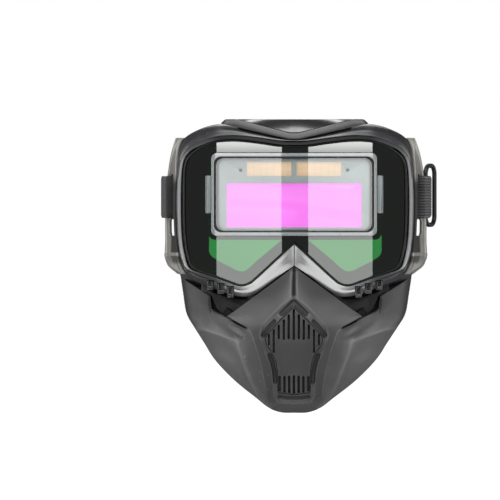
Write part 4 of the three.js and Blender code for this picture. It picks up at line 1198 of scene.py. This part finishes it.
# Right cheek: rows from top to bottom, each from the muzzle outwards and back: x, y, z
CHEEK = np.array([
    [(31, 7.4, -95.3), (38, 15.5, -92.2), (46, 26, -88.1), (58.5, 41, -81.6),
     (59, 47, -71.7), (77, 70, -61), (81, 85, -58)],
    [(30.2, 6.4, -97.4), (37.5, 13.4, -95.4), (45, 23.5, -92.2), (56.5, 38, -87.6),
     (64.5, 52, -79), (76, 71, -72), (79.2, 84, -70)],
    [(29, 5, -99.8), (36, 11, -98.8), (43, 20, -96.6), (54.5, 34, -93.4),
     (64, 51, -89), (73.5, 69, -87), (76.5, 80, -85)],
    [(27.2, 3.6, -104), (34, 8, -103.5), (40.6, 14, -102.5), (52, 30, -99.5),
     (63, 47.5, -96), (69, 64, -95.5), (70.6, 74, -95)],
    [(25, 3.4, -111), (32, 7.5, -111.5), (37.9, 13, -112), (47, 30, -110.5),
     (56.5, 46, -108), (62, 59, -106.3), (63.7, 67, -105.4)],
    [(22.8, 3.8, -118.5), (29.5, 8, -119.5), (35, 13, -120.5), (42.5, 28, -120),
     (50, 42, -118.5), (55.3, 53, -117), (56.7, 60, -116)],
    [(20.5, 5, -129.5), (26.3, 9, -130.3), (31, 14, -131), (34.8, 25, -131.8),
     (38.5, 35, -132), (41, 43, -131.7), (41.8, 48, -131.3)],
    [(18.8, 7.6, -139.9), (22.8, 12, -141), (25.5, 18, -142.5), (25.6, 24, -143.3),
     (25.5, 29, -143.8), (25.3, 33, -144), (25, 36, -144)],
    [(15.6, 13, -149.8), (17.3, 16, -150.1), (17.6, 20, -150.2), (17.4, 23, -150.2),
     (17.3, 25, -150.1), (17.1, 28, -150.05), (17, 30, -150)],
    [(8, 13.2, -152.4), (8.8, 15.4, -153), (9.2, 18, -153.2), (9.1, 21, -153.2),
     (9, 23.5, -153.1), (9, 26, -153.05), (9, 28, -153)]], float)
CHIN = np.array([(0, 12.6, -152.6), (0, 15, -153.3), (0, 17.6, -153.4), (0, 20, -153.4),
                 (0, 22.5, -153.4), (0, 25, -153.4), (0, 27, -153.4)], float)
CHEEK_WIDEN = [(x, 0, 0) for x in (0, 0, 0, 0.4, 0.9, 1.2, 1.2)]
# The top edge turned over, two rows of offsets from the first cheek row; it is painted fully dark
# later, as painted shade in the hollow behind the cheeks
LIP_NEAR = [(0, 1.6, 0.2), (0.2, 2.4, 0.3), (0.2, 2.8, 0.3), (-0.6, 2.9, 0.3), (-0.6, 1.2, 0.3),
            (0, 0.5, 0.2), (0, 0.3, 0.2)]
LIP_FAR = [(0, 3.6, 3.5), (0.5, 4.6, 5), (0.5, 5.8, 7.5), (-1.5, 7, 9.5), (-1.5, 2.5, 2.4),
           (0, 0.7, 0.5), (0, 0.5, 0.4)]

def cheeks():
    """both cheeks as one sheet, joined under the chin"""
    steps = 12
    half = list(CHEEK + np.array(CHEEK_WIDEN))
    half = [half[0] + np.array(LIP_FAR), half[0] + np.array(LIP_NEAR)] + half
    rows = half + [CHIN] + [row * np.array([-1, 1, 1]) for row in reversed(half)]
    n = len(rows)

    def fine(points, corners):
        return spline(points, steps, corners, closed=False, length=np.linalg.norm)

    def creases(i):
        i = min(i, n - 1 - i)
        if 5 <= i <= 9:
            return (2,)
        return (3, 4) if i <= 2 else ()

    wide = np.array([fine(row, creases(i)) for i, row in enumerate(rows)])
    columns = []
    for c in range(wide.shape[1]):
        corners = (1, 2, 5, n - 6, n - 3, n - 2) if c >= 2 * steps else (1, 2, n - 3, n - 2)
        columns.append(fine(wide[:, c], corners))
    front = np.stack(columns, 1)
    normal = np.cross(np.gradient(front, axis=0), np.gradient(front, axis=1))
    normal /= np.maximum(np.linalg.norm(normal, axis=2)[..., None], 1e-9)
    inward = -1 if normal[6 * 12 + 6, 4 * steps][0] > 0 else 1
    return sheet("cheeks", front, front + normal * inward * 2.3, MATTE)

def nose_ledge():
    """the shelf behind the muzzle's top edge, closing the gap under the frame"""
    low = OUTER_FINE[(np.abs(OUTER_FINE[:, 0]) < 34) & (OUTER_FINE[:, 2] < -40)]
    frame_x, frame_z = np.abs(low[:, 0]), low[:, 2]
    order = np.argsort(frame_x)
    sections = []
    for x in np.linspace(-31.5, 31.5, 106):
        a = abs(x)
        edge_z = float(np.interp(a, MUZZLE[:7, 1], MUZZLE[:7, 0]))
        y = float(monotone(-MUZZLE[:, 0], MUZZLE[:, 2], [-edge_z])[0]) + 1.4
        top = min(edge_z - 0.35, float(np.interp(a, frame_x[order], frame_z[order])) - 0.9)
        sections.append(np.array([(x, y, top), (x, 33.0, top), (x, 33.0, top - 2.0),
                                  (x, y, top - 2.0)]))
    return loft("ledge", sections, MATTE)

def shell_painted_light(co):
    """the painted shade and the painted highlights of the mask shell"""
    points = co[:, [0, 2]]
    x, z = np.abs(co[:, 0]), co[:, 2]
    muzzle_z = np.clip(z, BOTTOM, TOP)
    behind = co[:, 1] - muzzle_y(co[:, 0], muzzle_z)
    half = muzzle_row(muzzle_z)[0]

    # painted shade: darker grooves round the plate and down the nose, the turned-over lip fully dark,
    # darker muzzle sides and upper cheeks
    groove = np.zeros(len(co))
    for line, width in STROKES:
        groove = np.maximum(groove, fall(line_distance(points, line), width / 2 + 0.15, 0.35))
    groove = np.maximum(groove * 0.66, fall(x, 2.3, 1.8) * rise(z, -73.0, 3.0))
    edge = np.interp(x, CHEEK[0, :4, 0], CHEEK[0, :4, 2])
    lip = (x > 30.5) & (x < 58.4) & (z > edge + 0.5) & (behind > 3.2)
    low = fall(x, half + 1.5, 3) * fall(z, -89, 7) * rise(z, -149, 8) * 0.36
    upper = rise(x, 50, 8) * rise(z, -96, 14) * 0.5
    shade = np.maximum.reduce([groove * (behind < 3.3), lip * 1.0, low, upper])

    right = np.column_stack([x, z])

    # painted highlights along the cheek creases and the top edge, round the recess rim, low on the
    # nose panel and on the outer cheeks
    def highlight_near(line, spread):
        return np.exp(-(line_distance(right, line) / spread) ** 2)

    painted_highlight = (0.42 * highlight_near(CHEEK[3, 2:, ::2], 2.0) + 0.42 * highlight_near(CHEEK[3:9, 2, ::2], 1.6)
            + 0.35 * highlight_near(CHEEK[0, :4, ::2], 0.9))
    rim = np.abs(signed_distance(points, RECESS) + 0.4)
    painted_highlight = painted_highlight + 0.35 * np.exp(-(rim / 0.8) ** 2) * rise(z, -104, 8)
    foot = 0.26 * rise(z, -99, 13) * fall(z, -68, 12) * rise(x, 8, 16) * (x < half + 1)
    width = np.interp(z, [-152, -131, -105, -85, -58], [10, 42, 64, 77, 82])
    outer = (0.30 * rise(x, 0.62 * width, 12) * fall(z, -92, 8) * rise(z, -150, 10)
             * (x > half))
    painted_highlight = np.maximum(painted_highlight, np.maximum(foot, outer))
    return shade, np.clip(painted_highlight, 0, 0.6) * (co[:, 1] < 75) * (1 - shade)

def mask_shell():
    ob = joined("mask_shell_moulded", [muzzle(), cheeks(), nose_ledge()], MATTE)
    remesh(ob, 0.45, 3, MATTE)
    shade, painted_highlight = shell_painted_light(coords_mm(ob))
    paint(ob, "shade", shade)
    paint(ob, "painted_highlight", painted_highlight)
    put_on(ob, "mask", "mask_shell")

# Upright slots from the middle outwards: pitch, width, (top z, bottom z) of each
SLOTS = [(3.5, 1.6, [(-79.9, -101.8), (-83.8, -101.4), (-87.4, -101.8), (-91, -101.4),
                     (-94.2, -111), (-97.4, -105.8)]),
         (3.32, 1.7, [(-126.4, -139.6), (-126.7, -139.2), (-127, -138.9), (-127, -138)])]

def grille_plate():
    x, z = np.meshgrid(np.linspace(-22, 22, 111), np.linspace(-76.8, -141.6, 163))
    y = muzzle_y(x, z)
    ob = sheet("grille_plate_moulded", grid(x, y + plate_relief(x, z), z),
               grid(x, y + SKIN, z), MATTE)
    cut(ob, prism(inset(PLATE, PLATE_GAP), -40, 30), operation="INTERSECT")
    tools = []
    for pitch, width, ends in SLOTS:
        for i, (top, bottom) in enumerate(ends):
            for s in (1, -1) if i else (1,):
                slot = rounded_rect(width, top - bottom, width / 2 - 0.02, 5,
                                    s * i * pitch, (top + bottom) / 2)
                tools.append(prism(slot, -40, 30))
    cut(ob, joined("t", tools))
    remesh(ob, 0.3, 2, MATTE)
    paint(ob, "shade", np.full(len(ob.data.vertices), 0.36))
    put_on(ob, "mask", "grille_plate")

def filter_pad():
    x, z = np.meshgrid(np.linspace(-24, 24, 49), np.linspace(-75, -143, 69))
    y = muzzle_y(x, z)
    random = np.random.default_rng(4)
    front_y = y + 3.75 + random.random(y.shape) * 0.06
    back_y = y + 8.6 + random.random(y.shape) * 0.2
    ob = sheet("filter_felt_pad", grid(x, front_y, z), grid(x, back_y, z), FELT)
    cut(ob, prism(inset(PLATE, -0.9), -40, 40), operation="INTERSECT")
    put_on(ob, "mask", "filter_pad")

# Right bracket, with the two pegs that enter the frame: x, z
BRACKET_OUTLINE = np.array([
    (22, -72.8), (27, -73.3), (27, -65.5), (33, -65.5), (33, -73.7), (38, -74), (48, -72.2),
    (56, -69.8), (61, -67.3), (61, -58.5), (66, -58.5), (66, -68.0), (62, -69.6), (58.4, -71.8),
    (57.0, -75.5), (54.6, -80.6), (48, -87.5), (38, -91), (30, -90.4), (22, -87)])

def mask_bracket(side, sign):
    ob = curved_plate("mask_bracket_arm_" + side, BRACKET_OUTLINE * (sign, 1), [], 24.6, 2.6,
                      SHADED_BRACKET, bottom=-94)
    smooth(ob, 30)
    add_bevel(ob, 0.5, 3, 40)
    apply(ob)
    smooth(ob, 40)
    put_on(ob, "mask", "mask_bracket_" + side)

mask_shell()
grille_plate()
filter_pad()
mask_bracket("left", -1)
mask_bracket("right", 1)


# ------------------------------------------------------------------ stage
def world():
    """white to the camera, dim to diffuse rays, dimmer still to the rest"""
    studio = bpy.data.worlds.new("studio")
    scene.world = studio
    studio.use_nodes = True
    tree = studio.node_tree
    tree.nodes.clear()
    rays = tree.nodes.new("ShaderNodeLightPath").outputs

    def background(level):
        node = tree.nodes.new("ShaderNodeBackground")
        node.inputs["Color"].default_value = (level, level, level, 1)
        return node.outputs[0]

    def mixed(ray, otherwise, shader):
        node = tree.nodes.new("ShaderNodeMixShader")
        for i, socket in enumerate((rays[ray], otherwise, shader)):
            tree.links.new(socket, node.inputs[i])
        return node.outputs[0]

    scattered = mixed("Is Diffuse Ray", background(0.07), background(0.22))
    seen = mixed("Is Camera Ray", scattered, background(1.0))
    tree.links.new(seen, tree.nodes.new("ShaderNodeOutputWorld").inputs["Surface"])

def stage_floor():
    """a pale floor as white as the backdrop, low enough to lift the mask off above it"""
    s = Shader("floor_pale")
    rays = s.node("ShaderNodeLightPath").outputs
    glow_level = s.remap(rays["Is Camera Ray"], 0.30, 0.90)
    light = s.node("ShaderNodeEmission", {"Color": (1, 1, 1, 1), "Strength": glow_level})
    matte = s.node("ShaderNodeBsdfDiffuse", {"Color": (0.5, 0.5, 0.5, 1)})
    mirrored = s.node("ShaderNodeEmission", {"Strength": 0.07})
    mat = s.finish(s.mix_shaders(rays["Is Glossy Ray"],
                                 s.add_shaders(light.outputs[0], matte.outputs[0]),
                                 mirrored.outputs[0]))
    size, z = 9000, -203.0
    corners = [(-size, -size, z), (size, -size, z), (size, size, z), (-size, size, z)]
    floor = make_mesh("floor", corners, [(0, 1, 2, 3)], mat, flat=True)
    floor.visible_shadow = False
    floor.visible_glossy = False

world()
stage_floor()


# ------------------------------------------------------------------ lights
def toward_sky(azimuth, elevation):
    """unit direction; azimuth 0 is in front (-Y) and grows towards +X"""
    return Vector((math.sin(azimuth) * math.cos(elevation),
                   -math.cos(azimuth) * math.cos(elevation), math.sin(elevation)))

def strip(name, az0, az1, z0, z1, strength, ramp=False):
    """a curved glowing panel round the goggle, whose sharp edges give the lens its bands"""
    distance, steps = 2500, 24
    verts = []
    for i in range(steps + 1):
        a = math.radians(az0 + (az1 - az0) * i / steps)
        verts += [(math.sin(a) * distance, -math.cos(a) * distance, z) for z in (z0, z1)]
    faces = [(2 * i, 2 * i + 1, 2 * i + 3, 2 * i + 2) for i in range(steps)]
    s = Shader(name + "_light")
    if ramp:                              # brighter above the horizon
        strength = s.remap(s.xyz()[2], strength, strength * 2.6, start=0.028, stop=0.040)
    light = s.node("ShaderNodeEmission", {"Strength": strength}).outputs[0]
    camera_ray = s.node("ShaderNodeLightPath").outputs["Is Camera Ray"]
    clear = s.node("ShaderNodeBsdfTransparent").outputs[0]
    mat = s.finish(s.mix_shaders(camera_ray, light, clear))
    ob = make_mesh(name, verts, faces, mat, recalc=False)
    ob.visible_camera = False
    ob.visible_shadow = False

def area(name, azimuth, elevation, width, height, power, distance=1.5):
    """a softbox aimed at the product"""
    target = Vector((0, 0.02, -0.04))
    place = toward_sky(math.radians(azimuth), math.radians(elevation)) * distance + target
    light = bpy.data.lights.new(name, "AREA")
    light.shape = "RECTANGLE"
    light.size = width
    light.size_y = height
    light.energy = power
    ob = bpy.data.objects.new(name, light)
    scene.collection.objects.link(ob)
    ob.location = place
    ob.rotation_euler = (target - place).to_track_quat("-Z", "Y").to_euler()
    ob.visible_camera = False
    return ob

BAND = 1.22                               # strength of the two front strips
# azimuth from, to (degrees); bottom, top (mm); strength
strip("light_front_left", -54.9, -9.4, -420, 300, BAND, ramp=True)
strip("light_front_right", 8.4, 52.7, -420, 300, BAND, ramp=True)
strip("light_brow", -62, 62, 900, 2300, 3.4)
strip("light_side_left", -125, -83, -900, 500, 2.9)
strip("light_side_right", 81, 125, -900, 500, 2.9)
strip("light_low", -60, 60, -2600, -1500, 1.6)
area("key_top", azimuth=-12, elevation=58, width=1.0, height=0.5, power=16)
area("rear", azimuth=180, elevation=45, width=1.2, height=0.5, power=8)
area("chin_fill", azimuth=0, elevation=-62, width=1.3, height=0.8, power=9)

# lights that reach only the goggle frame: name, azimuth, elevation, width, height, radiance
FILLS = [("nose_fill", 0, -22, 3.8, 4.4, 8.0), ("lip_fill_left", -104, -6, 1.9, 1.5, 5.0),
         ("lip_fill_right", 104, -6, 1.9, 1.5, 5.0)]
rim_only = bpy.data.collections.new("rim_only")
rim_only.objects.link(goggle)
for name, azimuth, elevation, width, height, radiance in FILLS:
    fill = area(name, azimuth, elevation, width, height, radiance * 4 * width * height,
                distance=2.5)
    fill.light_linking.receiver_collection = rim_only


# ------------------------------------------------------------------ camera
def camera():
    distance, view_width, sensor = 6.0, 0.350, 36
    azimuth = math.radians(1.3)
    to_camera = toward_sky(azimuth, math.radians(0.6))
    right = Vector((math.cos(azimuth), math.sin(azimuth), 0))
    target = right * -0.0308 + to_camera.cross(right) * -0.0389
    cam = bpy.data.cameras.new("cam")
    ob = bpy.data.objects.new("cam", cam)
    scene.collection.objects.link(ob)
    ob.location = target + to_camera * distance
    ob.rotation_euler = (-to_camera).to_track_quat("-Z", "Y").to_euler()
    cam.sensor_width = sensor
    cam.lens = sensor * distance / view_width
    cam.clip_end = 50
    scene.camera = ob

camera()
scene.view_settings.view_transform = "Standard"
scene.view_settings.look = "None"
scene.view_settings.exposure = 0
scene.view_settings.gamma = 1
